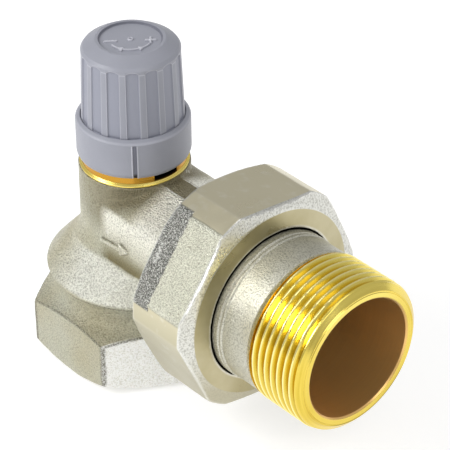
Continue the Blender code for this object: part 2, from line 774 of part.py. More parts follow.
def tailpiece(look):
    """Tail drawn up by the nut: inner collar, plain part, thread and end land."""
    plain_r = TAIL_R - TAIL_BEAD
    land_back = TAIL_END - LAND_BACK
    profile = [
        (0.0, TAIL_END),
        (TAIL_CORE_R, TAIL_END),
        (LAND_R, TAIL_END - LAND_CHAMFER),
        (LAND_R, land_back),
        (TAIL_CORE_R, land_back - 0.0010),
        (TAIL_CORE_R, THREAD_START),
        (plain_r - 0.0006, THREAD_START),
        (plain_r, THREAD_START - 0.0012),
        (plain_r, TAIL_BEAD_END),
        (TAIL_R, TAIL_BEAD_END - 0.0004),
        (TAIL_R, NUT_SHOULDER - GAP),
        (TAIL_COLLAR_R, NUT_SHOULDER - GAP),
        (TAIL_COLLAR_R, TAIL_COLLAR_BACK),
        (0.0, TAIL_COLLAR_BACK),
    ]
    tail = turned("tailpiece", profile, PARTS, outlet=True)

    crest_r = PIPE_OD / 2
    turns = int((TAIL_END - THREAD_START) / THREAD_PITCH) + 3
    thread = threaded_rod("tail_thread", crest_r, THREAD_START - 2.2 * THREAD_PITCH, turns)
    envelope = [
        (0.0, land_back + SLIGHT),
        (LAND_R - 0.0004, land_back + SLIGHT),
        (crest_r + 0.0002, land_back - 0.0008),
        (crest_r + 0.0002, THREAD_START + 0.0008),
        (TAIL_CORE_R + 0.0002, THREAD_START - 0.0011),
        (0.0, THREAD_START - 0.0011),
    ]
    boolean(thread, turned("thread_ends", envelope, CUTTERS, outlet=True), "INTERSECT")
    boolean(tail, thread, "UNION")

    lip = 0.0004
    bore = [
        (0.0, TAIL_END + PAST),
        (TAIL_BORE_R + lip, TAIL_END + PAST),
        (TAIL_BORE_R + lip, TAIL_END),
        (TAIL_BORE_R, TAIL_END - lip),
        (TAIL_BORE_R, TAIL_COLLAR_BACK - PAST),
        (0.0, TAIL_COLLAR_BACK - PAST),
    ]
    bore_tool = turned("tail_bore", bore, CUTTERS, outlet=True)
    for side in (-1, 1):
        centre = (KEY_LUG_X, side * TAIL_BORE_R, OUTLET_Z)
        boolean(bore_tool, block("key_lug_%d" % side, KEY_LUG, centre))
    boolean(tail, bore_tool)
    give(tail, look)


# ---------------------------------------------------------------- build ----
def build():
    nickel = material("nickel", (0.62, 0.60, 0.54), 1.0, 0.42)
    brass = material("brass", (0.85, 0.62, 0.18), 1.0, 0.25)
    steel = material("stainless", (0.60, 0.60, 0.60), 1.0, 0.30)
    rubber = material("black_rubber", (0.03, 0.03, 0.03), 0.0, 0.70)
    fibre = material("seal_fibre", (0.45, 0.09, 0.05), 0.0, 0.80)
    grey = material("grey_plastic", (0.40, 0.41, 0.46), 0.0, 0.50)
    white = material("white_plastic", (0.80, 0.80, 0.78), 0.0, 0.45)

    valve_body(nickel)
    insert_housing(brass)
    gland(brass)
    packing(rubber, white)
    stem(steel, brass, rubber)
    return_spring(steel)

    cap_collar(grey)
    cap_knob(grey)
    cap_plunger(white)

    union_nut(nickel)
    tailpiece(nickel)
    outer, inner = SEAL_R
    give(ring("tail_seal", outer, inner, BODY_END + GAP, TAIL_COLLAR_BACK - GAP, PARTS, ROUND, True), fibre)


build()
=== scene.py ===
"""Looks of the angle radiator valve: cast nickel body, forged nut, brass tail, grey cap.

Shapes are written in millimetres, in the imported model's frame: +Z up the spindle, +X
out of the outlet, origin at the centre of the inlet's end face.  link() turns each
finished mesh into metres.
"""
import math

import bpy
import bmesh
import numpy as np
from mathutils import Matrix, Vector


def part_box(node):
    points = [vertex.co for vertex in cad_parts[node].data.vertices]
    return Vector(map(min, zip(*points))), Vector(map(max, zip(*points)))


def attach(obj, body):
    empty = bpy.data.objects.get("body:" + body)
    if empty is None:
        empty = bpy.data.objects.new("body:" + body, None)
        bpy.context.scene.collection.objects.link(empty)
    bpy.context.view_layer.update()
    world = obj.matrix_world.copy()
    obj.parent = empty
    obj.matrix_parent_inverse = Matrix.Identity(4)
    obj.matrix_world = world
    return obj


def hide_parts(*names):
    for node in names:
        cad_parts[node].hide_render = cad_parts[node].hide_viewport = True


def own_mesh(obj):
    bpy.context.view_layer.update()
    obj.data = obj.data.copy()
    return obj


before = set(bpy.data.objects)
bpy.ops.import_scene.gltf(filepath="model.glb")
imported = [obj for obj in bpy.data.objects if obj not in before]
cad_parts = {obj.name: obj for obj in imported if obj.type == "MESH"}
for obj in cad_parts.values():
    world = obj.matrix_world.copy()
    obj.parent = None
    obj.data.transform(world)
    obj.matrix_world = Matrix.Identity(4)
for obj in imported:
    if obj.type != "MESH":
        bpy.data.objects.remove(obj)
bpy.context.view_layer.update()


def box_mm(node):
    low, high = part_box(node)
    return [value * 1000 for value in low], [value * 1000 for value in high]


# ------------------------------------------------------ driving sizes, mm ----
TAIL_LOW, TAIL_HIGH = box_mm("tailpiece")
SPRING_LOW, SPRING_HIGH = box_mm("return_spring")

AXIS_Z = (TAIL_LOW[2] + TAIL_HIGH[2]) / 2       # height of the outlet's axis
PIPE_R = 16.62                                  # R 1 thread over its crests
UNION_R = 20.95                                 # G 1 1/4 thread over its crests
UNION_PITCH = 2.309                             # 11 threads to the inch
UNION_DEPTH = 1.48
TAIL_PITCH = 1.75
TAIL_DEPTH = 1.1

HEX_HALF = 20.0                                 # inlet hexagon, centre to flat
HEX_CORNER_R = 23.1
HEX_TOP = 12.4
HEX_BOTTOM = 2.0
NECK_R = 11.9
NECK_TOP = 46.1
BULB_R = 19.7
LEDGE_Z = 20.3
WAIST_R = 18.0
BRANCH_HALF = 12.6
BRANCH_TOP = 46.0
RIDGE_HALF = 2.5
SHOULDER_Z = 41.7
SKIRT_CREASE = 29.3                             # top of the slope beside the branch
SPIGOT_START = 24.3
BODY_END = 35.6

NUT_HALF = 22.2                                 # union nut, centre to flat
NUT_BAND_R = 24.15                              # its corners, turned down
NUT_REAR = 26.5
NUT_FRONT = 43.2
NUT_FACE_R = 21.0
NUT_HOLE_R = 16.85
NUT_TILT = math.radians(54)                     # one corner, seen along the outlet
ROUGH_FLAT = NUT_TILT + math.radians(90)        # middle of the flat left as forged
SCALE_START = 32.1                              # rough scale behind this, on that flat

SPRING_R = 4.2                                  # return spring, axis to middle of the wire
SPRING_TURNS = 3.5

TAIL_END = TAIL_HIGH[0]
THREAD_START = 54.1
TAIL_BORE_R = 13.15
KNOB_TOP = box_mm("cap_knob")[1][2]
COLLAR_R = 12.1
FRONT = math.radians(-38.4)                     # side of the cap with the collar's slit
FLUTES = 16
FLUTE_SHARE = 0.335                             # half a flute's share of the pitch
CROWN_Z = 72.95                                 # top of a flute, in its middle
CROWN_RISE = 0.65                               # and how far its ends lie lower


# -------------------------------------------------------------- mesh tools ----
def link(mesh, body, look, nodes=()):
    """Put a mesh in the scene, riding on a body and standing for CAD nodes."""
    mesh.transform(Matrix.Scale(0.001, 4))
    obj = bpy.data.objects.new(mesh.name, mesh)
    bpy.context.scene.collection.objects.link(obj)
    mesh.materials.append(look)
    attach(obj, body)
    if nodes:
        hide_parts(*nodes)
    return obj


def smooth_shaded(mesh, smooth_angle):
    mesh.shade_smooth()
    mesh.set_sharp_from_angle(angle=math.radians(smooth_angle))
    return mesh


def rounded(outline, default):
    """Round the corners of an outline of (r, h) or (r, h, radius) points.

    The outline is closed unless it starts and ends on the axis.
    """
    count = len(outline)
    open_ended = is_open(outline)
    dense = []
    for index, corner in enumerate(outline):
        here = np.array(corner[:2], float)
        if open_ended and index in (0, count - 1):
            dense.append(here)
            continue
        radius = corner[2] if len(corner) > 2 else default
        before = np.array(outline[(index - 1) % count][:2], float) - here
        after = np.array(outline[(index + 1) % count][:2], float) - here
        length_before, length_after = np.linalg.norm(before), np.linalg.norm(after)
        before, after = before / length_before, after / length_after
        opening = math.acos(float(np.clip(before @ after, -1.0, 1.0)))
        if radius <= 0.0 or opening > math.radians(176):
            dense.append(here)
            continue
        setback = min(radius / math.tan(opening / 2), 0.45 * length_before, 0.45 * length_after)
        steps = 5
        for step in range(steps + 1):
            t = step / steps
            start = here + before * setback * (1 - t)
            end = here + after * setback * t
            dense.append(start + (end - start) * t)
    return np.array(dense)


def is_open(outline):
    return outline[0][0] == 0.0 and outline[-1][0] == 0.0


def resample(outline, step, closed):
    """Points along an outline no further apart than step, corners kept."""
    ends = np.roll(outline, -1, axis=0) if closed else outline[1:]
    starts = outline if closed else outline[:-1]
    pieces = []
    for start, end in zip(starts, ends):
        count = max(1, int(math.ceil(np.linalg.norm(end - start) / step)))
        along = np.arange(count)[:, None] / count
        pieces.append(start + (end - start) * along)
    if not closed:
        pieces.append(outline[-1:])
    return np.concatenate(pieces)


def lathe(name, outline, segments=128, step=0.6, shape=None, outlet=False, corner=0.15,
          smooth_angle=40.0):
    """A turned piece as a fine grid; shape(angle, r, h) may move its points.

    The outline runs down the outer side.  With outlet=True the axis is the outlet's.
    """
    closed = not is_open(outline)
    path = resample(rounded(outline, corner), step, closed)
    angles = np.arange(segments) * 2 * math.pi / segments
    r, angle = np.meshgrid(path[:, 0], angles, indexing="ij")
    h = np.repeat(path[:, 1:2], segments, axis=1)
    if shape:
        r, h = shape(angle, r, h)
    x, y, z = r * np.cos(angle), r * np.sin(angle), h
    if outlet:
        x, y, z = h, r * np.cos(angle), AXIS_Z + r * np.sin(angle)
    points = np.stack([x, y, z], axis=-1).reshape(-1, 3)
    rows = len(path)
    row = np.arange(rows if closed else rows - 1)
    i, j = np.meshgrid(row, np.arange(segments), indexing="ij")
    down, across = (i + 1) % rows, (j + 1) % segments
    quads = np.stack([i * segments + j, down * segments + j,
                      down * segments + across, i * segments + across], axis=-1).reshape(-1, 4)
    mesh = bpy.data.meshes.new(name)
    mesh.from_pydata(points.tolist(), [], quads.tolist())
    work = bmesh.new()
    work.from_mesh(mesh)
    bmesh.ops.remove_doubles(work, verts=work.verts, dist=0.002)
    bmesh.ops.recalc_face_normals(work, faces=work.faces)
    work.to_mesh(mesh)
    work.free()
    return smooth_shaded(mesh, smooth_angle)


# ------------------------------------------------------------ solid fields ----
def smooth_min(a, b, k):
    """Union of two fields with a fillet of about k."""
    h = np.clip(0.5 + 0.5 * (b - a) / k, 0.0, 1.0)
    return b + (a - b) * h - k * h * (1.0 - h)


def smooth_max(a, b, k):
    """Intersection of two fields with a rounded edge of about k."""
    return -smooth_min(-a, -b, k)


def smooth_step(low, high, value):
    t = np.clip((value - low) / (high - low), 0.0, 1.0)
    return t * t * (3.0 - 2.0 * t)


def turned_field(outline, corner, grid=0.1, margin=3.0):
    """Field of a turned solid, given as a function of (r, h).

    The distance to the outline is worked out once on a flat grid and read off it.
    """
    path = rounded(outline, corner)
    low = path.min(axis=0) - margin
    low[0] = 0.0
    high = path.max(axis=0) + margin
    size = np.ceil((high - low) / grid).astype(int) + 2
    r, h = np.meshgrid(low[0] + np.arange(size[0]) * grid, low[1] + np.arange(size[1]) * grid,
                       indexing="ij")
    distance = np.full(r.shape, 1e9)
    inside = np.zeros(r.shape, bool)
    for (r0, h0), (r1, h1) in zip(path, np.roll(path, -1, axis=0)):
        if not (r0 == 0.0 and r1 == 0.0):
            dr, dh = r1 - r0, h1 - h0
            t = np.clip(((r - r0) * dr + (h - h0) * dh) / (dr * dr + dh * dh + 1e-12), 0.0, 1.0)
            distance = np.minimum(distance, np.hypot(r - r0 - t * dr, h - h0 - t * dh))
        if h0 != h1:
            crossing = r0 + (h - h0) * (r1 - r0) / (h1 - h0)
            inside ^= ((h0 > h) != (h1 > h)) & (r < crossing)
    table = np.where(inside, -distance, distance).astype(np.float32)

    def field(radius, height):
        u = np.clip((radius - low[0]) / grid, 0.0, size[0] - 1.001)
        v = np.clip((height - low[1]) / grid, 0.0, size[1] - 1.001)
        i, j = u.astype(np.int32), v.astype(np.int32)
        u, v = u - i, v - j
        near = table[i, j] * (1 - u) + table[i + 1, j] * u
        far = table[i, j + 1] * (1 - u) + table[i + 1, j + 1] * u
        return near * (1 - v) + far * v

    return field


def hexagon_field(x, y, half, first_corner):
    sides = [np.abs(x * math.cos(first_corner + math.radians(30 + 60 * k))
                    + y * math.sin(first_corner + math.radians(30 + 60 * k))) for k in range(3)]
    return np.maximum(np.maximum(sides[0], sides[1]), sides[2]) - half


def thread_form(h, angle, pitch):
    """0 at the root and 1 at the crest of a right-handed pipe thread."""
    phase = (h / pitch - angle / (2 * math.pi)) % 1.0
    saw = np.abs(phase - 0.5) * 2.0
    return np.clip((saw - 0.10) / 0.78, 0.0, 1.0)


def unevenness(x, y, z, wave):
    """Slow unevenness of a casting, between about -1 and 1."""
    total = np.zeros_like(x)
    for k, (a, b, c) in enumerate(((1.0, 0.3, -0.5), (-0.4, 1.1, 0.6), (0.5, -0.7, 0.9),
                                   (0.9, 0.8, 0.2), (-1.3, 0.5, 1.1))):
        turn = 2 * math.pi / wave * (1.0 + 0.23 * k)
        total += np.sin((a * x + b * y + c * z) * turn + 1.7 * k) / 3.0
    return total


def surface(name, field, low, high, cell, smooth_angle=32.0):
    """Mesh the zero level of field(x, y, z) with surface nets, then settle it."""
    sizes = [int(math.ceil((b - a) / cell)) + 1 for a, b in zip(low, high)]
    axes = [np.float32(a) + np.arange(n, dtype=np.float32) * np.float32(cell)
            for a, n in zip(low, sizes)]
    values = field(*np.meshgrid(*axes, indexing="ij")).astype(np.float32)
    inside = values < 0
    corners = [(i, j, k) for i in (0, 1) for j in (0, 1) for k in (0, 1)]

    total = np.zeros([n - 1 for n in sizes], np.int8)
    for corner in corners:
        total += inside[tuple(slice(c, n - 1 + c) for c, n in zip(corner, sizes))]
    active = np.argwhere((total > 0) & (total < 8))
    index = np.full([n - 1 for n in sizes], -1, dtype=np.int64)
    index[tuple(active.T)] = np.arange(len(active))
    position = np.zeros((len(active), 3))
    crossings = np.zeros(len(active))
    for a in corners:
        for axis in range(3):
            if a[axis]:
                continue
            b = tuple(1 if n == axis else c for n, c in enumerate(a))
            first = values[tuple((active + a).T)]
            second = values[tuple((active + b).T)]
            cut = (first < 0) != (second < 0)
            t = np.where(cut, first / np.where(cut, first - second, 1.0), 0.0)
            point = np.array(a, float) + (np.array(b, float) - np.array(a, float)) * t[:, None]
            position += point * cut[:, None]
            crossings += cut
    position = (active + position / crossings[:, None]) * cell + np.array(low)

    quads = []
    for axis in range(3):
        one, two = [n for n in range(3) if n != axis]
        start = [slice(None)] * 3
        end = [slice(None)] * 3
        start[axis], end[axis] = slice(0, -1), slice(1, None)
        here, there = inside[tuple(start)], inside[tuple(end)]
        edges = np.argwhere(here != there)
        keep = (edges[:, one] > 0) & (edges[:, two] > 0)
        keep &= (edges[:, one] < sizes[one] - 1) & (edges[:, two] < sizes[two] - 1)
        edges = edges[keep]
        flip = here[tuple(edges.T)] == (axis == 1)
        around = []
        for back_one, back_two in ((1, 1), (0, 1), (0, 0), (1, 0)):
            cell_at = edges.copy()
            cell_at[:, one] -= back_one
            cell_at[:, two] -= back_two
            around.append(index[tuple(cell_at.T)])
        ring = np.stack(around, axis=-1)
        ring[flip] = ring[flip][:, ::-1]
        quads.append(ring)
    quads = np.concatenate(quads)

    nudge = cell * 0.2
    for _ in range(3):
        x, y, z = position.T
        value = field(x, y, z)
        slope = np.stack([
            field(x + nudge, y, z) - field(x - nudge, y, z),
            field(x, y + nudge, z) - field(x, y - nudge, z),
            field(x, y, z + nudge) - field(x, y, z - nudge),
        ], axis=-1) / (2 * nudge)
        size = np.maximum((slope ** 2).sum(axis=1), 0.05)
        shift = slope * (value / size)[:, None]
        length = np.linalg.norm(shift, axis=1)
        shift *= np.minimum(1.0, 0.5 * cell / np.maximum(length, 1e-12))[:, None]
        position = position - shift
    mesh = bpy.data.meshes.new(name)
    mesh.from_pydata(position.tolist(), [], quads.tolist())
    return smooth_shaded(mesh, smooth_angle)


# ------------------------------------------------------------- valve body ----
def bulb_outline():
    """Neck, conical shoulder, rim, ledge and waist, down the outer side."""
    return [(0.0, NECK_TOP), (NECK_R, NECK_TOP, 0.3), (NECK_R, 31.7, 3.0), (12.5, 30.0, 3.0),
            (14.1, 27.5, 2.0), (BULB_R - 0.05, 21.2, 0.2), (BULB_R - 0.2, 20.7, 0.1),
            (18.5, 20.2, 0.3), (WAIST_R, 18.2, 0.8), (WAIST_R, 10.0), (0.0, 10.0)]


def hexagon_turning():
    """Cones that trim the inlet hexagon's corners above and below."""
    slope = math.tan(math.radians(26))
    inner_r = WAIST_R - 0.1
    foot_z = HEX_TOP + slope * (HEX_CORNER_R - inner_r)
    return [(0.0, LEDGE_Z - 0.5), (inner_r, LEDGE_Z - 0.5), (inner_r, foot_z, 3.5),
            (HEX_CORNER_R + 0.6, HEX_TOP - 0.6 * slope, 0.0),
            (HEX_CORNER_R + 0.6, HEX_BOTTOM + 0.35, 0.0), (HEX_HALF - 0.2, 0.0, 0.3), (0.0, 0.0)]


def flow_arrow(x, z):
    """Flat field of a plain arrow that points along the flow, on the body's side."""
    along = (x - 8.3) * 0.995 + (z - 33.6) * 0.1
    across = (z - 33.6) * 0.995 - (x - 8.3) * 0.1
    shaft = np.maximum(np.abs(along + 1.2) - 3.4, np.abs(across) - 0.42)
    head = np.maximum(1.6 - along, (along - 1.6) * 0.55 + np.abs(across) - 1.55)
    return np.minimum(shaft, head)


def valve_body_field():
    bulb = turned_field(bulb_outline(), 0.1)
    hexagon_cones = turned_field(hexagon_turning(), 0.3)
    spigot = turned_field([
        (0.0, BODY_END), (UNION_R - 1.0, BODY_END), (UNION_R, BODY_END - 1.0),
        (UNION_R, SPIGOT_START + 3.0), (UNION_R - 3.0, SPIGOT_START), (14.6, 22.3, 2.0),
        (10.0, 21.0), (0.0, 21.0)], 0.3)
    spigot_cone = turned_field([
        (0.0, BODY_END - 1.5), (15.0, BODY_END - 1.5), (17.0, BODY_END + 2.0),
        (0.0, BODY_END + 2.0)], 0.1)
    inlet = turned_field([
        (0.0, 20.7), (7.8, 20.7), (7.8, 17.5), (12.5, 15.5), (12.5, 14.0), (15.2, 12.8),
        (15.2, 1.4), (17.0, -0.4), (17.0, -2.0), (0.0, -2.0)], 0.3)
    chamber = turned_field([
        (0.0, 48.0), (8.6, 48.0), (8.6, 31.0), (10.6, 28.2), (15.0, 23.2), (15.0, 18.8, 1.0),
        (9.8, 18.8, 0.3), (9.8, 19.7), (0.0, 19.7)], 0.6)
    waterway = turned_field([
        (0.0, BODY_END + 2.0), (15.0, BODY_END + 2.0), (15.0, BODY_END - 3.0), (10.0, 24.0),
        (10.0, 10.0), (0.0, 10.0)], 0.6)
    facet_y, facet_z = SHOULDER_Z - BRANCH_TOP, RIDGE_HALF - BRANCH_HALF
    facet_length = math.hypot(facet_y, facet_z)
    facet_y, facet_z = -facet_y / facet_length, -facet_z / facet_length
    facet_reach = facet_y * RIDGE_HALF + facet_z * BRANCH_TOP

    def field(x, y, z):
        rho = np.hypot(x, y)
        side = np.abs(y)
        up = z - AXIS_Z
        reach = np.hypot(y, up)

        foot = smooth_max(hexagon_field(x, y, HEX_HALF, 0.0), hexagon_cones(rho, z), 0.2)
        shape = smooth_min(bulb(rho, z), foot, 0.3)

        ends = np.maximum(x - SPIGOT_START - 0.5, -x)
        walls = smooth_max(side - BRANCH_HALF, facet_y * side + facet_z * z - facet_reach, 3.0)
        walls = smooth_max(walls, z - BRANCH_TOP, 0.15)
        walls = np.maximum(np.maximum(walls, 24.0 - z), ends)
        belly = smooth_max(np.hypot(y, z - 24.0) - 13.0, 20.4 - z, 0.8)
        skirt = np.maximum(side - BRANCH_HALF - (SKIRT_CREASE - z) * 0.8, -x)
        skirt = np.maximum(skirt, rho - BULB_R + 0.1)
        skirt = np.maximum(skirt * 0.78, np.maximum(20.5 - z, z - SKIRT_CREASE - 1.5))
        branch = smooth_min(smooth_min(walls, skirt, 0.2), np.maximum(belly, ends), 0.8)
        shape = smooth_min(shape, branch, 0.9)
        shape = shape + 0.05 * unevenness(x, y, z, 11.0)

        arrow = np.maximum(flow_arrow(x, z), y)
        shape = np.minimum(shape, smooth_max(shape - 0.55, arrow, 0.2))

        angle = np.arctan2(up, y)
        thread = UNION_DEPTH * (1.0 - thread_form(x, angle, UNION_PITCH)) * smooth_step(27.3, 28.3, x)
        shape = smooth_min(shape, spigot(reach + thread, x) * 0.8, 0.8)

        angle = np.arctan2(y, x)
        thread = UNION_DEPTH * thread_form(z, angle, UNION_PITCH) * smooth_step(13.4, 12.4, z)
        thread = np.where(rho > 14.0, thread, 0.0)
        voids = np.minimum(inlet(rho - thread, z) * 0.8, chamber(rho, z))
        voids = np.minimum(np.minimum(voids, waterway(reach, x)), spigot_cone(reach, x))
        return smooth_max(shape, -voids, 0.2)

    return field


def valve_body_mesh():
    margin = 0.9
    low = (-HEX_CORNER_R - margin, -HEX_CORNER_R - margin, -margin)
    high = (BODY_END + margin, HEX_CORNER_R + margin, NECK_TOP + 2.0 * margin + 6.0)
    return surface("body_casting", valve_body_field(), low, high, 0.30)


# -------------------------------------------------------------- union nut ----
def union_nut_field():
    turning = turned_field([
        (0.0, NUT_FRONT), (NUT_HOLE_R - 1.0, NUT_FRONT), (NUT_HOLE_R, 43.1, 0.0), (NUT_FACE_R, 42.6, 0.1),
        (NUT_BAND_R, 41.6, 0.2), (NUT_BAND_R, 27.6, 0.4), (NUT_HALF - 0.1, NUT_REAR, 0.3),
        (0.0, NUT_REAR)], 0.2)
    hole = turned_field([
        (0.0, 45.0), (NUT_HOLE_R, 45.0), (NUT_HOLE_R, 40.2), (21.3, 40.2), (21.3, 24.0), (0.0, 24.0)], 0.1)
    rough_y, rough_z = math.cos(ROUGH_FLAT), math.sin(ROUGH_FLAT)

    def field(x, y, z):
        up = z - AXIS_Z
        reach = np.hypot(y, up)
        flats = hexagon_field(y, up, NUT_HALF, NUT_TILT)
        shape = smooth_max(flats, turning(reach, x), 0.15)
        facing = np.abs(y * rough_y + up * rough_z)
        bevel = facing - NUT_HALF + (SCALE_START - x) * 0.09
        shape = smooth_max(shape, bevel, 0.12)
        shape = shape + 0.03 * unevenness(x, y, z, 14.0)
        angle = np.arctan2(up, y)
        groove = 0.35 * thread_form(x, angle, UNION_PITCH) * ((x > 27.5) & (x < 39.5))
        return smooth_max(shape, -hole(reach - groove, x), 0.12)

    return field


def union_nut_mesh():
    margin = 0.9
    reach = NUT_BAND_R + margin
    low = (NUT_REAR - margin, -reach, AXIS_Z - reach)
    high = (NUT_FRONT + margin, reach, AXIS_Z + reach)
    return surface("nut_forging", union_nut_field(), low, high, 0.28)


# -------------------------------------------------------------- tailpiece ----
def tail_mesh():
    land_back = TAIL_END - 1.35
    outline = [
        (TAIL_BORE_R + 0.35, TAIL_END, 0.0), (14.5, TAIL_END, 0.05), (14.62, TAIL_END - 0.16, 0.04),
        (14.8, TAIL_END - 0.16, 0.04), (14.95, TAIL_END - 0.05, 0.04), (15.1, TAIL_END - 0.2, 0.04),
        (16.25, TAIL_END - 1.05, 0.2), (16.3, land_back, 0.0), (PIPE_R, land_back - 0.4, 0.0),
        (PIPE_R, THREAD_START, 0.0), (15.2, THREAD_START - 0.15, 0.0),
        (15.35, THREAD_START - 0.6, 0.2), (16.25, THREAD_START - 1.2, 0.4), (16.25, 45.9, 0.2),
        (16.5, 45.6, 0.1), (16.5, 45.2, 0.1), (16.1, 44.9, 0.1), (16.45, 44.5, 0.1),
        (16.45, 39.9, 0.1), (20.3, 39.9, 0.2), (20.3, 37.6, 0.3),
        (TAIL_BORE_R + 0.5, 37.6, 0.2), (TAIL_BORE_R, 38.1, 0.1), (TAIL_BORE_R, TAIL_END - 0.35, 0.0)]

    def cut(angle, r, h):
        thread = PIPE_R - TAIL_DEPTH * (1.0 - thread_form(h, angle, TAIL_PITCH))
        on_thread = (h > THREAD_START - 0.01) & (h < land_back - 0.01) & (r > 15.0)
        return np.where(on_thread, np.minimum(r, thread), r), h

    return lathe("tail_brass", outline, segments=256, step=0.075, shape=cut, outlet=True, smooth_angle=50.0)


# -------------------------------------------------------------------- cap ----
def flute_depth(angle, h):
    """How far the grip's flutes are cut in, at a height and an angle."""
    pitch = 2 * math.pi / FLUTES
    across = ((angle - FRONT) / pitch + 0.5) % 1.0 - 0.5
    across = np.clip(np.abs(across) / FLUTE_SHARE, 0.0, 1.0)
    arch = np.sqrt(1.0 - across ** 2)
    crown = CROWN_Z - CROWN_RISE * (1.0 - arch)
    floor = smooth_step(1.0, 0.86, across) * (0.82 + 0.18 * arch)
    return 0.33 * floor * smooth_step(0.0, 0.3, crown - h)


def relief_marks(angle, r):
    """Plain marks in the top's recess: minus, plus, a two-headed turning arrow and a dot.

    Negative on a mark.  u points to the front of the cap and v to its right.
    """
    u = r * np.cos(angle - FRONT)
    v = r * np.sin(angle - FRONT)
    minus = np.maximum(np.abs(v + 4.1) - 1.35, np.abs(u - 0.7) - 0.2)
    across = np.maximum(np.abs(v - 4.1) - 1.2, np.abs(u - 0.7) - 0.2)
    upright = np.maximum(np.abs(v - 4.1) - 0.2, np.abs(u - 0.7) - 1.2)
    turn = np.abs(np.arctan2(v, u)) * 4.4
    middle = np.maximum(np.abs(r - 4.4) - 0.17, turn - 1.7)
    ends = np.maximum(np.abs(r - 4.4) - 0.17, np.abs(turn - 3.6) - 1.1)
    tips = np.maximum((turn - 2.6) * 0.6 + np.abs(r - 4.4) - 0.2, 1.7 - turn)
    dot = np.maximum(r - 0.6, 0.3 - r)
    marks = np.minimum(np.minimum(minus, across), np.minimum(upright, dot))
    return np.minimum(marks, np.minimum(np.minimum(middle, ends), tips))


def knob_mesh():
    floor = KNOB_TOP - 0.5
    outline = [
        (0.0, floor), (6.5, floor, 0.1), (6.62, KNOB_TOP, 0.1), (7.3, KNOB_TOP, 0.3),
        (9.85, 73.75, 0.3), (10.33, 73.1, 0.25), (10.9, 57.4, 0.15), (10.9, 56.8), (11.4, 56.8),
        (11.4, 56.5), (9.4, 56.5), (9.4, 57.4), (8.6, 72.6, 0.5), (4.6, 72.6), (4.6, 62.0),
        (3.4, 62.0), (3.4, 72.6), (0.0, 72.6)]

    def shape(angle, r, h):
        side = (r > 9.7) & (h > 57.3) & (h < 73.1)
        r = np.where(side, r - flute_depth(angle, h), r)
        recess = (r < 6.3) & (h > floor - 0.01)
        marks = 0.35 * smooth_step(0.05, -0.05, relief_marks(angle, r))
        return r, np.where(recess, h + marks, h)

    return lathe("knob_grip", outline, segments=384, step=0.12, shape=shape, smooth_angle=50.0)


def collar_mesh():
    outline = [
        (11.0, 57.7, 0.15), (11.85, 57.1, 0.2), (COLLAR_R, 56.7, 0.2), (COLLAR_R, 49.4, 0.8),
        (11.75, 48.6, 0.2), (11.5, 48.6), (11.5, 53.3), (5.8, 55.3), (5.8, 59.0), (7.4, 59.0), (7.4, 56.2),
        (11.7, 56.2), (11.7, 57.1), (11.0, 57.1)]

    def shape(angle, r, h):
        across = (angle - FRONT + math.pi) % (2 * math.pi) - math.pi
        across = np.abs(across * COLLAR_R)
        outer = (r > 11.6) & (h < 57.2)
        groove = 0.4 * smooth_step(0.42, 0.34, across) * smooth_step(56.7, 56.4, h)
        welt = 0.12 * smooth_step(0.16, 0.06, np.abs(across - 0.56))
        r = np.where(outer, r - groove + welt * (h < 56.7), r)
        guide = 5.6 / np.cos((angle % (math.pi / 3)) - math.pi / 6)
        inner = (r < 6.6) & (h > 54.9) & (h < 59.3)
        return np.where(inner, guide, r), h

    return lathe("collar_shell", outline, segments=448, step=0.25, shape=shape, smooth_angle=45.0)


# ---------------------------------------------------- insert and internals ----
def insert_mesh():
    wall_r, slot_r = 11.1, 9.9
    slot_low, slot_high = 46.93, 48.3
    outline = [
        (6.2, 53.0), (10.4, 53.0, 0.2), (11.2, 52.2, 0.2), (11.2, 51.6, 0.2), (10.4, 50.8, 0.2),
        (10.4, 49.4, 0.2), (wall_r, 48.6, 0.1),
        (wall_r, slot_high + 0.02, 0.0), (wall_r, slot_high - 0.02, 0.0),
        (wall_r, slot_low + 0.02, 0.0), (wall_r, slot_low - 0.02, 0.0), (wall_r, 46.85, 0.0),
        (11.65, 46.4, 0.05), (11.65, 46.15, 0.03), (8.3, 46.4), (8.3, 35.0, 0.2), (7.5, 34.2, 0.2),
        (2.6, 34.2), (2.6, 36.0), (6.2, 36.0)]

    def slots(angle, r, h):
        across = (angle + math.radians(2.5)) % math.pi
        across = np.minimum(across, math.pi - across) * wall_r
        inside = (np.abs(r - wall_r) < 0.01) & (h > slot_low) & (h < slot_high) & (across < 2.9)
        return np.where(inside, slot_r, r), h

    return lathe("ring_insert", outline, segments=384, step=0.25, shape=slots, smooth_angle=35.0)


def gland_mesh():
    outline = [
        (1.9, 55.6, 0.15), (5.65, 55.6, 0.15), (5.65, 53.4, 0.1), (5.8, 53.4, 0.1),
        (5.8, 47.6, 0.1), (4.8, 47.6), (4.8, 46.2), (5.8, 46.2), (5.8, 44.8),
        (3.2, 44.8), (3.2, 50.5), (1.9, 50.5)]

    def shape(angle, r, h):
        flat = 4.9 / np.cos((angle % (math.pi / 3)) - math.pi / 6)
        corner = 5.65 - np.clip(h - 55.1, 0.0, 0.5)
        head = (r > 4.5) & (h > 53.45)
        return np.where(head, np.minimum(np.minimum(flat, corner), r), r), h

    return lathe("gland_head", outline, segments=144, step=0.2, shape=shape, smooth_angle=30.0)


def pin_mesh():
    outline = [(0.0, 58.6), (1.1, 58.6, 0.35), (1.5, 58.1, 0.25), (1.5, 44.5), (0.0, 44.5)]
    return lathe("pin_steel", outline, segments=48, step=0.3, smooth_angle=45.0)


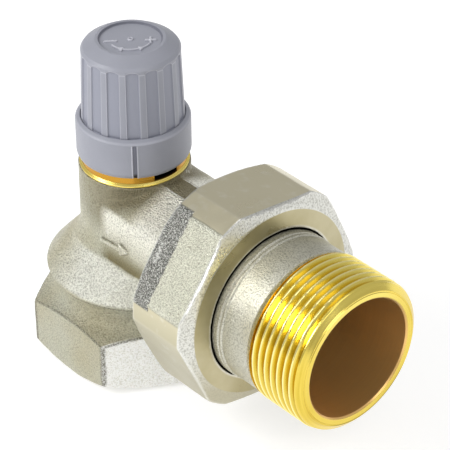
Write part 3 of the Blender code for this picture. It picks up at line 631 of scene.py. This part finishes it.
def spring_mesh():
    """A round wire along the spring's helix, its ends closed."""
    low, high = SPRING_LOW[2], SPRING_HIGH[2]
    wire_r = SPRING_HIGH[0] - SPRING_R
    steps, sides = round(SPRING_TURNS * 40), 12
    rise = (high - low - 2 * wire_r) / steps
    work = bmesh.new()
    rings = []
    slope = rise * steps / (2 * math.pi * SPRING_TURNS * SPRING_R)
    turns = [2 * math.pi * side / sides for side in range(sides)]
    for step in range(steps + 1):
        angle = 2 * math.pi * SPRING_TURNS * step / steps
        outward = Vector((math.cos(angle), math.sin(angle), 0.0))
        along = Vector((-math.sin(angle), math.cos(angle), slope))
        across = outward.cross(along).normalized()
        centre = outward * SPRING_R + Vector((0.0, 0.0, low + wire_r + rise * step))
        spokes = [outward * math.cos(turn) + across * math.sin(turn) for turn in turns]
        rings.append([work.verts.new(centre + spoke * wire_r) for spoke in spokes])
    for lower, upper in zip(rings, rings[1:]):
        for side in range(sides):
            after = (side + 1) % sides
            work.faces.new((lower[side], lower[after], upper[after], upper[side]))
    work.faces.new(rings[0])
    work.faces.new(rings[-1])
    bmesh.ops.recalc_face_normals(work, faces=work.faces)
    mesh = bpy.data.meshes.new("spring_wire")
    work.to_mesh(mesh)
    work.free()
    return smooth_shaded(mesh, 50.0)


# -------------------------------------------------------------- materials ----
class Look:
    """A Principled material built up from short calls; returns sockets to wire."""

    def __init__(self, name, colour, metallic, roughness):
        self.material = bpy.data.materials.new(name)
        self.material.use_nodes = True
        self.tree = self.material.node_tree
        self.shader = self.tree.nodes["Principled BSDF"]
        self.shader.inputs["Base Color"].default_value = (*colour, 1.0)
        self.shader.inputs["Metallic"].default_value = metallic
        self.shader.inputs["Roughness"].default_value = roughness
        self.place = self.tree.nodes.new("ShaderNodeTexCoord").outputs["Object"]
        self.normal = None

    def wire(self, value, socket):
        if isinstance(value, bpy.types.NodeSocket):
            self.tree.links.new(value, socket)
        elif isinstance(value, tuple) and len(value) == 3 and socket.type == "RGBA":
            socket.default_value = (*value, 1.0)
        else:
            socket.default_value = value

    def noise(self, scale, detail=3.0, stretch=None, roughness=0.5):
        """Noise with about scale cells to the metre."""
        node = self.tree.nodes.new("ShaderNodeTexNoise")
        node.inputs["Scale"].default_value = scale
        node.inputs["Detail"].default_value = detail
        node.inputs["Roughness"].default_value = roughness
        place = self.place
        if stretch:
            mapping = self.tree.nodes.new("ShaderNodeMapping")
            mapping.inputs["Scale"].default_value = stretch
            self.wire(self.place, mapping.inputs["Vector"])
            place = mapping.outputs["Vector"]
        self.wire(place, node.inputs["Vector"])
        return node.outputs["Fac"]

    def remap(self, value, low, high, to_low=0.0, to_high=1.0):
        node = self.tree.nodes.new("ShaderNodeMapRange")
        node.clamp = True
        for socket, number in zip(("From Min", "From Max", "To Min", "To Max"),
                                  (low, high, to_low, to_high)):
            node.inputs[socket].default_value = number
        self.wire(value, node.inputs["Value"])
        return node.outputs["Result"]

    def math(self, operation, a, b=0.0):
        node = self.tree.nodes.new("ShaderNodeMath")
        node.operation = operation
        self.wire(a, node.inputs[0])
        self.wire(b, node.inputs[1])
        return node.outputs["Value"]

    def mix(self, factor, a, b):
        node = self.tree.nodes.new("ShaderNodeMix")
        node.data_type = "RGBA"
        self.wire(factor, node.inputs["Factor"])
        self.wire(a, node.inputs["A"])
        self.wire(b, node.inputs["B"])
        return node.outputs["Result"]

    def axis(self, letter):
        node = self.tree.nodes.new("ShaderNodeSeparateXYZ")
        self.wire(self.place, node.inputs["Vector"])
        return node.outputs[letter]

    def times(self, *values):
        """Product of the values, such as masks."""
        product = values[0]
        for value in values[1:]:
            product = self.math("MULTIPLY", product, value)
        return product

    def plus(self, a, b):
        return self.math("ADD", a, b)

    def less(self, a, b):
        return self.math("SUBTRACT", a, b)

    def size(self, value):
        return self.math("ABSOLUTE", value)

    def most(self, first, *others):
        for other in others:
            first = self.math("MAXIMUM", first, other)
        return first

    def radius(self, a, b):
        return self.math("SQRT", self.plus(self.times(a, a), self.times(b, b)))

    def from_stem_axis(self):
        return self.radius(self.axis("X"), self.axis("Y"))

    def over_outlet_axis(self):
        return self.less(self.axis("Z"), AXIS_Z / 1000)

    def from_outlet_axis(self):
        return self.radius(self.over_outlet_axis(), self.axis("Y"))

    def facing(self, angle, up=None):
        """Distance along a level direction, or round the outlet's axis if up is given."""
        first, second = (self.axis("Y"), up) if up else (self.axis("X"), self.axis("Y"))
        return self.plus(self.times(first, math.cos(angle)), self.times(second, math.sin(angle)))

    def paint_crease_shade_and_edge_light(self, colour, hollow, crease_shade, edge_highlight, shine, start):
        """Painted shade in the mesh's creases and a painted highlight on its edges, both read from its
        pointiness.
        """
        bend = self.tree.nodes.new("ShaderNodeNewGeometry").outputs["Pointiness"]
        colour = self.mix(self.remap(bend, 0.492, 0.440, 0.0, hollow), colour, crease_shade)
        return self.mix(self.remap(bend, start, start + 0.05, 0.0, shine), colour, edge_highlight)

    def bump(self, height, distance, strength=1.0):
        node = self.tree.nodes.new("ShaderNodeBump")
        node.inputs["Strength"].default_value = strength
        node.inputs["Distance"].default_value = distance
        self.wire(height, node.inputs["Height"])
        if self.normal:
            self.wire(self.normal, node.inputs["Normal"])
        self.normal = node.outputs["Normal"]
        self.wire(self.normal, self.shader.inputs["Normal"])

    def finish(self, colour=None, roughness=None):
        if colour is not None:
            self.wire(colour, self.shader.inputs["Base Color"])
        if roughness is not None:
            self.wire(roughness, self.shader.inputs["Roughness"])
        return self.material


# Colours are linear.  In the metals' masks, places are in metres.
GREY_LIGHT = (0.315, 0.322, 0.372)
GREY_DARK = (0.295, 0.303, 0.348)
# The next two greys are painted shade in the flutes and a painted highlight on edges.
GREY_FLUTE_SHADE = (0.275, 0.285, 0.345)
GREY_EDGE_HIGHLIGHT = (0.46, 0.465, 0.52)
NICKEL = (0.61, 0.605, 0.49)
NICKEL_WARM = (0.555, 0.52, 0.37)
NICKEL_OLIVE = (0.54, 0.50, 0.34)
NICKEL_BRIGHT = (0.74, 0.74, 0.69)


def paint_branch_light_and_shade(look, colour):
    """Painted shade darkens the neck, foot and ridge; painted light lightens the wall, slope, facet and lip
    round the branch.
    """
    x, z = look.axis("X"), look.axis("Z")
    side = look.size(look.axis("Y"))
    round_neck = look.facing(FRONT + math.radians(60))
    neck = look.times(look.remap(z, 0.0340, 0.0385), look.remap(look.from_stem_axis(), 0.0165, 0.0130),
                      look.remap(round_neck, -0.010, 0.003, 0.30, 1.0))
    beside = look.times(look.remap(side, 0.0116, 0.0122), look.remap(x, 0.003, 0.006))
    wall = look.times(look.remap(z, 0.0310, 0.0375), beside)
    foot = look.times(look.remap(z, 0.0335, 0.0300), look.remap(z, 0.0287, 0.0292), beside)
    slope = look.times(look.remap(z, 0.0291, 0.0284), look.remap(z, 0.0210, 0.0216),
                       look.remap(side, 0.0100, 0.0125), look.remap(x, -0.0090, 0.0010))
    facet = look.times(look.remap(side, 0.0024, 0.0030), look.remap(z, 0.0385, 0.0410),
                       look.remap(x, 0.0115, 0.0150))
    top = look.times(look.remap(z, 0.04572, 0.04584), look.remap(x, 0.0125, 0.0135))
    ridge = look.times(top, look.remap(side, 0.00235, 0.00215))
    from_lip = look.size(look.less(side, 0.00245))
    lip = look.times(look.remap(from_lip, 0.00022, 0.00012), top)
    # Each region gets its painted shade or painted light.
    for mask, shade in ((neck, (0.28, 0.25, 0.16)), (wall, (0.95, 0.94, 0.83)),
                        (foot, (0.27, 0.235, 0.125)), (slope, (0.86, 0.86, 0.77)),
                        (facet, (0.97, 0.96, 0.86)), (ridge, (0.33, 0.30, 0.20)),
                        (lip, (0.95, 0.95, 0.88))):
        colour = look.mix(mask, colour, shade)
    return colour


def paint_hexagon_light_and_shade(look, colour, grain):
    """A painted highlight on one flat of the inlet hexagon, darker pitted bands along its upper edges and
    corners, and painted shade beneath the rim.
    """
    z = look.axis("Z")
    spread = look.from_stem_axis()
    low = look.remap(z, 0.0140, 0.0130)
    # Painted highlight: the flat facing -30 degrees is painted light and sparkling.
    painted_lit_flat = look.times(low, look.remap(look.facing(math.radians(-30)), 0.01955, 0.01970))
    sparkle = look.mix(look.remap(grain, 0.34, 0.52), (0.80, 0.79, 0.72), (1.0, 1.0, 0.97))
    colour = look.mix(painted_lit_flat, colour, sparkle)

    corner_slope = 0.488                        # of the cone that trims the corners
    flats = [look.size(look.facing(math.radians(turn))) for turn in (-30, 30, 90)]
    on_cone = look.less(z, look.times(look.less(HEX_CORNER_R / 1000, spread), corner_slope))
    upper = look.times(look.remap(look.most(*flats), 0.01970, 0.01985),
                       look.remap(on_cone, HEX_TOP / 1000 - 0.0006, HEX_TOP / 1000 - 0.0003),
                       look.remap(z, 0.0160, 0.0155))
    corner = look.times(look.remap(spread, 0.02262, 0.02285), low)
    # Painted shade beneath the bulb's rim.
    under = look.times(look.remap(z, 0.0209, 0.0206), look.remap(z, 0.0190, 0.0196),
                       look.remap(spread, 0.0181, 0.0184))
    # Darker pitted bands on the hexagon's edges and corners, with the painted shade beneath the rim.
    dark_bands_and_rim_shade = look.times(look.most(upper, corner, under), look.remap(grain, 0.64, 0.44, 0.25, 0.9))
    return look.mix(dark_bands_and_rim_shade, colour, (0.17, 0.16, 0.12))


def cast_nickel():
    """Nickel plate over a sand-cast brass body, cleaned with a shot blast; light and shade are painted on
    round the branch, on the hexagon, in creases and on edges.
    """
    look = Look("cast_nickel", NICKEL, 1.0, 0.38)
    grain = look.noise(2700, 2.0, roughness=0.65)
    tone = look.remap(look.noise(70, 2.0), 0.38, 0.66)
    # Painted light and shade round the branch.
    colour = paint_branch_light_and_shade(look, look.mix(tone, NICKEL, NICKEL_WARM))
    colour = look.mix(look.remap(grain, 0.36, 0.56, 0.50, 0.0), colour, (0.20, 0.185, 0.13))
    # Painted highlight on one flat and painted shade beneath the rim.
    colour = paint_hexagon_light_and_shade(look, colour, grain)
    # Painted shade in the casting's creases and painted highlights on its edges.
    colour = look.paint_crease_shade_and_edge_light(colour, 0.8, (0.15, 0.13, 0.08), (0.97, 0.97, 0.93), 0.35, 0.535)
    look.bump(grain, 0.00052, 1.0)
    look.bump(look.noise(800, 2.0), 0.00022, 0.55)
    return look.finish(colour, look.remap(grain, 0.35, 0.65, 0.44, 0.31))


def nut_nickel():
    """Nickel on the forged nut: sparkling on two flats, scraped or turned elsewhere, with light and shade
    painted on.
    """
    look = Look("nut_nickel", NICKEL, 1.0, 0.32)
    x = look.axis("X")
    up = look.over_outlet_axis()
    facing = look.size(look.facing(ROUGH_FLAT, up))
    reach = look.from_outlet_axis()
    forged = look.times(look.remap(facing, 0.02180, 0.02195), look.remap(x, 0.0417, 0.0414))
    edge = look.plus(x, look.remap(look.noise(700, 2.0), 0.3, 0.7, -0.0003, 0.0003))
    strip = look.remap(edge, SCALE_START / 1000 + 0.0001, SCALE_START / 1000 - 0.0001)
    strip = look.times(look.remap(facing, 0.02140, 0.02155), strip)
    forged = look.times(forged, look.less(1.0, strip))
    cone = look.times(look.remap(x, 0.04125, 0.04135), look.remap(reach, 0.02068, 0.02076))
    annulus = look.times(look.remap(x, 0.0422, 0.0424), look.remap(reach, 0.02076, 0.02068))

    grain = look.noise(3800, 2.0, roughness=0.65)
    pits = look.remap(grain, 0.34, 0.58)
    marks = look.remap(look.noise(90, 4.0), 0.36, 0.64)
    dabs = look.remap(look.noise(420, 3.0), 0.56, 0.70, 0.0, 0.5)
    colour = look.mix(marks, NICKEL_OLIVE, NICKEL_WARM)
    colour = look.mix(dabs, colour, NICKEL_BRIGHT)
    # Painted light on the nut's upper side and painted shade on its lower side.
    painted_light_above = look.remap(up, -0.004, 0.012)
    colour = look.mix(look.times(painted_light_above, 0.6), colour, (0.80, 0.74, 0.55))
    painted_shade_below = look.remap(up, 0.004, -0.010)
    colour = look.mix(look.times(painted_shade_below, 0.75), colour, (0.38, 0.35, 0.235))
    colour = look.mix(forged, colour, look.mix(pits, (0.36, 0.35, 0.27), (0.72, 0.72, 0.60)))
    flakes = look.remap(grain, 0.46, 0.62)
    colour = look.mix(strip, colour, look.mix(flakes, (0.11, 0.11, 0.095), (0.62, 0.62, 0.575)))
    # Darker olive on the front annulus: a painted reflection of the brass tail and of the shade beneath it.
    colour = look.mix(annulus, colour, look.mix(marks, (0.42, 0.37, 0.21), (0.54, 0.49, 0.32)))
    # The front cone: turned scratches, with painted light on its upper part.
    scratches = look.remap(look.noise(2600, 3.0), 0.34, 0.56)
    corners = look.remap(up, -0.0150, -0.0030)
    cone_light = look.mix(corners, (0.50, 0.47, 0.35), NICKEL_BRIGHT)
    cone_dark = look.mix(corners, (0.44, 0.41, 0.30), (0.46, 0.455, 0.41))
    colour = look.mix(cone, colour, look.mix(scratches, cone_dark, cone_light))
    # Painted shade at the edge of the hole, in the gap round the tail.
    hole = look.remap(reach, NUT_HOLE_R / 1000 + 0.00006, NUT_HOLE_R / 1000 - 0.00002)
    colour = look.mix(hole, colour, (0.035, 0.032, 0.025))
    # Painted shade in the nut's creases and painted highlights on its edges.
    colour = look.paint_crease_shade_and_edge_light(colour, 0.45, (0.20, 0.19, 0.14), (0.92, 0.92, 0.88), 0.6, 0.504)
    rough = look.most(forged, strip)
    roughness = look.plus(look.remap(marks, 0.0, 1.0, 0.27, 0.34), look.times(rough, 0.08))
    height = look.times(grain, look.remap(rough, 0.0, 1.0, 0.06, 1.0))
    look.bump(height, 0.00030, 0.9)
    look.bump(look.noise(160, 3.0), 0.00016, 0.35)
    return look.finish(colour, roughness)


def tail_metal():
    """Nickel up to the thread, then bare turned brass outside and in, with light and shade painted on the
    thread, in the bore and at the nut.
    """
    look = Look("tail_metal", NICKEL, 1.0, 0.3)
    x = look.axis("X")
    reach = look.from_outlet_axis()
    plated = look.remap(x, 0.05395, 0.05405, 1.0, 0.0)
    plated = look.times(plated, look.remap(reach, 0.0140, 0.0146))
    grain = look.noise(3200, 2.0, roughness=0.65)
    clouds = look.remap(look.noise(90, 2.0), 0.45, 0.66)
    nickel = look.mix(clouds, (0.64, 0.63, 0.54), (0.60, 0.57, 0.44))
    nickel = look.mix(look.remap(grain, 0.36, 0.54), (0.38, 0.37, 0.30), nickel)
    bore = look.remap(reach, 0.0137, 0.0133)
    streaks = look.noise(1.0, 3.0, stretch=(2600, 60, 60))
    brass = look.mix(look.remap(streaks, 0.35, 0.65), (0.72, 0.53, 0.07), (0.84, 0.65, 0.12))
    brown = look.mix(look.remap(streaks, 0.3, 0.7), (0.86, 0.53, 0.19), (0.90, 0.56, 0.20))
    top = PIPE_R / 1000
    behind_end = look.remap(x, 0.0668, 0.0666)
    depth = look.times(look.remap(reach, top - 0.0002, top - 0.0009), behind_end)
    up = look.over_outlet_axis()
    # Painted light on the upper side of the thread.
    brass = look.mix(look.remap(up, 0.004, 0.013, 0.0, 0.7), brass, (0.97, 0.80, 0.20))
    # Darker in the thread's roots, partly oxide in the grooves and partly painted shade, which is stronger
    # on the lower side.
    brass = look.mix(look.times(depth, look.remap(up, 0.010, -0.004, 0.3, 0.8)), brass, (0.50, 0.34, 0.04))
    # Painted highlight on the thread's crests.
    crest = look.times(look.remap(reach, top - 0.00022, top - 0.00008), behind_end)
    brass = look.mix(crest, brass, (0.98, 0.86, 0.36))
    # Painted shade on the upper part of the bore.
    brown = look.mix(look.remap(up, -0.002, 0.010), brown, (0.40, 0.25, 0.09))
    brass = look.mix(bore, brass, brown)
    colour = look.mix(plated, brass, nickel)
    # Painted shade in the gap where the tail goes into the nut.
    gap = look.times(look.remap(x, 0.04325, 0.04305), look.remap(reach, 0.0150, 0.0160))
    colour = look.mix(gap, colour, (0.03, 0.028, 0.02))
    look.wire(look.remap(bore, 0.0, 1.0, 1.0, 0.7), look.shader.inputs["Metallic"])
    roughness = look.plus(look.remap(streaks, 0.3, 0.7, 0.17, 0.24), look.times(plated, 0.19))
    roughness = look.plus(look.times(roughness, look.less(1.0, bore)), look.times(bore, 0.30))
    streak_depth = look.remap(bore, 0.0, 1.0, 0.05, 0.0)
    height = look.plus(look.times(grain, plated), look.times(streaks, streak_depth))
    look.bump(height, 0.00016, 0.8)
    return look.finish(colour, roughness)


def turned_lines(look):
    """Fine lines round Z, as a lathe leaves them."""
    lines = look.noise(1.0, 3.0, stretch=(70, 70, 4200))
    look.bump(lines, 0.00003, 0.6)
    return lines


def turned_brass(name, colour, dark):
    """Bare brass with fine turned lines round Z."""
    look = Look(name, colour, 1.0, 0.24)
    lines = turned_lines(look)
    mixed = look.mix(look.remap(lines, 0.35, 0.65), dark, colour)
    return look.finish(mixed, look.remap(lines, 0.3, 0.7, 0.2, 0.3))


def plastic_look(name, colour):
    """A look with a fine spark-eroded texture, its clouding and its roughness."""
    look = Look(name, colour, 0.0, 0.42)
    texture = look.noise(3200, 2.0)
    look.bump(texture, 0.00004, 0.6)
    look.shader.inputs["IOR"].default_value = 1.49
    cloud = look.remap(look.noise(110, 2.0), 0.35, 0.65)
    return look, cloud, look.remap(texture, 0.3, 0.7, 0.37, 0.48)


def moulded_plastic(name, colour, dark):
    look, cloud, roughness = plastic_look(name, colour)
    return look.finish(look.mix(cloud, dark, colour), roughness)


def grip_plastic():
    """The grip's plastic, with painted highlights along the ribs' edges, the flutes' arched tops and the
    raised marks, and painted shade on the flutes' floors and along the foot of the top recess's wall.
    """
    look, cloud, roughness = plastic_look("grip_plastic", GREY_LIGHT)
    pitch = 2 * math.pi / FLUTES
    angle = look.math("ARCTAN2", look.axis("Y"), look.axis("X"))
    turns = look.plus(look.math("DIVIDE", look.less(angle, FRONT), pitch), FLUTES + 0.5)
    across = look.size(look.less(look.math("FRACT", turns), 0.5))
    height = look.times(look.axis("Z"), 1000.0)
    # Painted highlights along the ribs' edges and the flutes' arched tops.
    from_edge = look.size(look.less(across, FLUTE_SHARE + 0.012))
    on_side = look.remap(height, CROWN_Z - 0.6, CROWN_Z - 0.8)
    lines = look.times(look.remap(from_edge, 0.022, 0.008), on_side)
    share = look.math("MINIMUM", look.math("DIVIDE", across, FLUTE_SHARE), 1.0)
    arch = look.math("SQRT", look.less(1.0, look.times(share, share)))
    crown = look.plus(look.times(arch, CROWN_RISE), CROWN_Z - CROWN_RISE)
    from_crown = look.size(look.less(height, crown))
    lines = look.math("MAXIMUM", lines, look.remap(from_crown, 0.16, 0.05))
    # Painted shade on the flutes' floors.
    painted_flute_shade = look.times(look.remap(across, FLUTE_SHARE, FLUTE_SHARE - 0.03),
                          look.remap(look.less(crown, height), 0.1, 0.3))
    colour = look.mix(cloud, GREY_DARK, GREY_LIGHT)
    colour = look.mix(look.times(painted_flute_shade, 0.8), colour, GREY_FLUTE_SHADE)
    colour = look.mix(look.times(lines, 0.75), colour, GREY_EDGE_HIGHLIGHT)
    middle = look.from_stem_axis()
    # Painted highlight on the tops of the raised marks.
    raised = look.times(look.remap(height, KNOB_TOP - 0.42, KNOB_TOP - 0.22),
                        look.remap(middle, 0.0062, 0.0061))
    colour = look.mix(raised, colour, (0.52, 0.525, 0.58))
    # Painted shade along the foot of the top recess's wall.
    rim = look.remap(look.size(look.less(middle, 0.0065)), 0.00022, 0.00010)
    rim = look.times(rim, look.remap(height, KNOB_TOP - 0.6, KNOB_TOP - 0.55))
    colour = look.mix(look.times(rim, 0.7), colour, (0.14, 0.145, 0.18))
    return look.finish(colour, roughness)


def collar_plastic():
    """The collar's plastic: painted highlights on the welts on both sides of a slit of painted shade, and
    on the lip.
    """
    look, cloud, roughness = plastic_look("collar_plastic", GREY_LIGHT)
    angle = look.math("ARCTAN2", look.axis("Y"), look.axis("X"))
    across = look.times(look.size(look.less(angle, FRONT)), COLLAR_R)
    height = look.times(look.axis("Z"), 1000.0)
    outer = look.remap(height, 56.7, 56.5)
    # Painted shade in the slit, darkest at its foot; painted highlights on the welts beside it.
    slit = look.times(look.remap(across, 0.40, 0.32), outer)
    welt = look.remap(look.size(look.less(across, 0.56)), 0.17, 0.08)
    colour = look.mix(cloud, GREY_DARK, GREY_LIGHT)
    painted_slit_shade = look.mix(look.remap(height, 49.8, 49.2), (0.20, 0.205, 0.25), (0.02, 0.02, 0.025))
    colour = look.mix(slit, colour, painted_slit_shade)
    colour = look.mix(look.times(welt, outer), colour, (0.50, 0.505, 0.56))
    # Painted highlight along the lip.
    lip = look.size(look.less(height, 56.95))
    colour = look.mix(look.remap(lip, 0.3, 0.1, 0.0, 0.4), colour, GREY_EDGE_HIGHLIGHT)
    return look.finish(colour, roughness)


def ring_brass():
    """Brass of the insert: painted highlight on its bevel, painted shade on its browner wall and in the
    dark key slots.
    """
    look = Look("ring_brass", (0.88, 0.66, 0.13), 1.0, 0.24)
    z = look.axis("Z")
    spread = look.from_stem_axis()
    lines = turned_lines(look)
    # Painted highlight on the bevel.
    painted_bevel_light = look.mix(look.remap(lines, 0.35, 0.65), (0.90, 0.66, 0.12), (0.98, 0.82, 0.26))
    # Painted shade on the wall beneath the collar.
    wall = look.remap(spread, 0.01115, 0.01111)
    colour = look.mix(wall, painted_bevel_light, (0.55, 0.29, 0.04))
    # Painted shade in the key slots.
    slot = look.times(look.remap(spread, 0.01100, 0.01090), look.remap(z, 0.04690, 0.04693))
    slot = look.times(slot, look.remap(z, 0.04840, 0.04832))
    colour = look.mix(slot, colour, (0.012, 0.010, 0.008))
    return look.finish(colour, look.plus(look.remap(lines, 0.3, 0.7, 0.2, 0.3), look.times(slot, 0.4)))


def drawn_steel():
    look = Look("drawn_steel", (0.60, 0.60, 0.60), 1.0, 0.22)
    lines = look.noise(1.0, 2.0, stretch=(1500, 1500, 120))
    look.bump(lines, 0.00002, 0.5)
    mixed = look.mix(look.remap(lines, 0.3, 0.7), (0.50, 0.50, 0.51), (0.66, 0.66, 0.65))
    return look.finish(mixed, look.remap(lines, 0.3, 0.7, 0.18, 0.28))


def black_rubber():
    look = Look("black_rubber", (0.02, 0.02, 0.02), 0.0, 0.55)
    skin = look.noise(2500, 2.0)
    look.bump(skin, 0.00004, 0.5)
    mixed = look.mix(look.remap(skin, 0.3, 0.7), (0.012, 0.012, 0.013), (0.035, 0.035, 0.034))
    return look.finish(mixed, look.remap(skin, 0.3, 0.7, 0.5, 0.65))


def pressed_fibre():
    look = Look("pressed_fibre", (0.30, 0.05, 0.03), 0.0, 0.8)
    strands = look.noise(1800, 4.0)
    look.bump(strands, 0.00006, 0.7)
    mixed = look.mix(look.remap(strands, 0.3, 0.7), (0.22, 0.035, 0.02), (0.40, 0.08, 0.045))
    return look.finish(mixed, look.remap(strands, 0.3, 0.7, 0.75, 0.9))


# --------------------------------------------------------------- assembly ----
NICKEL_CAST = cast_nickel()
BRASS = turned_brass("turned_brass", (0.88, 0.66, 0.13), (0.76, 0.50, 0.08))
STEEL = drawn_steel()
RUBBER = black_rubber()
WHITE = moulded_plastic("white_plastic", (0.76, 0.76, 0.73), (0.70, 0.70, 0.67))

link(valve_body_mesh(), "valve", NICKEL_CAST, ["valve_body"])
link(union_nut_mesh(), "nut", nut_nickel(), ["union_nut"])
link(tail_mesh(), "tail", tail_metal(), ["tailpiece"])
link(insert_mesh(), "valve", ring_brass(), ["insert_housing"])
link(gland_mesh(), "valve", BRASS, ["gland_nut"])
link(pin_mesh(), "stem", STEEL, ["pressure_pin"])
spring = link(spring_mesh(), "valve", STEEL, ["return_spring"])
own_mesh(spring)
link(knob_mesh(), "knob", grip_plastic(), ["cap_knob"])
link(collar_mesh(), "cap", collar_plastic(), ["cap_collar"])

KEPT_LOOKS = {
    "valve_cone": BRASS, "cone_nut": BRASS,
    "spindle": STEEL, "spring_clip": STEEL, "spring_cup": STEEL,
    "gland_o_ring": RUBBER, "pin_seal": RUBBER, "seat_seal": RUBBER,
    "pin_guide": WHITE, "cap_plunger": WHITE, "tail_seal": pressed_fibre(),
}
for node, look in KEPT_LOOKS.items():
    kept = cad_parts[node]
    for place in kept.material_slots:
        place.material = look


# ----------------------------------------------- floor, light and camera ----
def add_floor():
    mesh = bpy.data.meshes.new("floor")
    work = bmesh.new()
    bmesh.ops.create_grid(work, x_segments=1, y_segments=1, size=6.0)
    work.to_mesh(mesh)
    work.free()
    floor = bpy.data.objects.new("floor", mesh)
    floor.location.z = -0.0005
    bpy.context.scene.collection.objects.link(floor)
    table = Look("light_table", (0.60, 0.60, 0.60), 0.0, 0.9)
    table.shader.inputs["Emission Color"].default_value = (1.0, 1.0, 1.0, 1.0)
    table.shader.inputs["Emission Strength"].default_value = 0.58
    haze = table.remap(table.noise(900, 2.0), 0.3, 0.7)
    mesh.materials.append(table.finish(table.mix(haze, (0.59, 0.59, 0.59), (0.61, 0.61, 0.61))))


def add_light(name, azimuth, elevation, distance, size, watts):
    """A square soft box aimed at the valve; azimuth is counted from +X to +Y."""
    data = bpy.data.lights.new(name, "AREA")
    data.shape = "RECTANGLE"
    data.size, data.size_y = size
    data.energy = watts
    lamp = bpy.data.objects.new(name, data)
    aim = Vector((0.02, 0.0, 0.035))
    turn, lift = math.radians(azimuth), math.radians(elevation)
    offset = Vector((math.cos(turn) * math.cos(lift), math.sin(turn) * math.cos(lift), math.sin(lift)))
    lamp.location = aim + offset * distance
    lamp.rotation_euler = (-offset).to_track_quat("-Z", "Y").to_euler()
    bpy.context.scene.collection.objects.link(lamp)


def add_world():
    world = bpy.data.worlds.new("studio")
    world.use_nodes = True
    background = world.node_tree.nodes["Background"]
    background.inputs["Color"].default_value = (1.0, 1.0, 1.0, 1.0)
    background.inputs["Strength"].default_value = 0.52
    bpy.context.scene.world = world


def add_camera():
    azimuth, elevation, roll = math.radians(48.72), math.radians(34.8), math.radians(-0.59)
    right_shift, up_shift, distance = 0.01864, 0.02365, 0.53144
    back = Vector((math.sin(azimuth) * math.cos(elevation), -math.cos(azimuth) * math.cos(elevation),
                   math.sin(elevation)))
    right = Vector((math.cos(azimuth), math.sin(azimuth), 0.0))
    up = back.cross(right)
    right, up = (right * math.cos(roll) + up * math.sin(roll),
                 up * math.cos(roll) - right * math.sin(roll))
    data = bpy.data.cameras.new("camera")
    data.lens = 192.0
    data.sensor_width = 36.0
    data.clip_start = 0.01
    camera = bpy.data.objects.new("camera", data)
    place = right * right_shift + up * up_shift + back * distance
    axes = Matrix((right, up, back)).transposed().to_4x4()
    camera.matrix_world = Matrix.Translation(place) @ axes
    bpy.context.scene.collection.objects.link(camera)
    bpy.context.scene.camera = camera


add_floor()
add_world()
add_light("key", -116, 38, 0.8, (0.36, 0.36), 3.4)
add_light("fill", -12, 42, 0.9, (0.5, 0.5), 1.5)
add_light("top", 150, 75, 0.9, (0.4, 0.4), 0.5)
add_camera()
bpy.context.scene.view_settings.view_transform = "Standard"
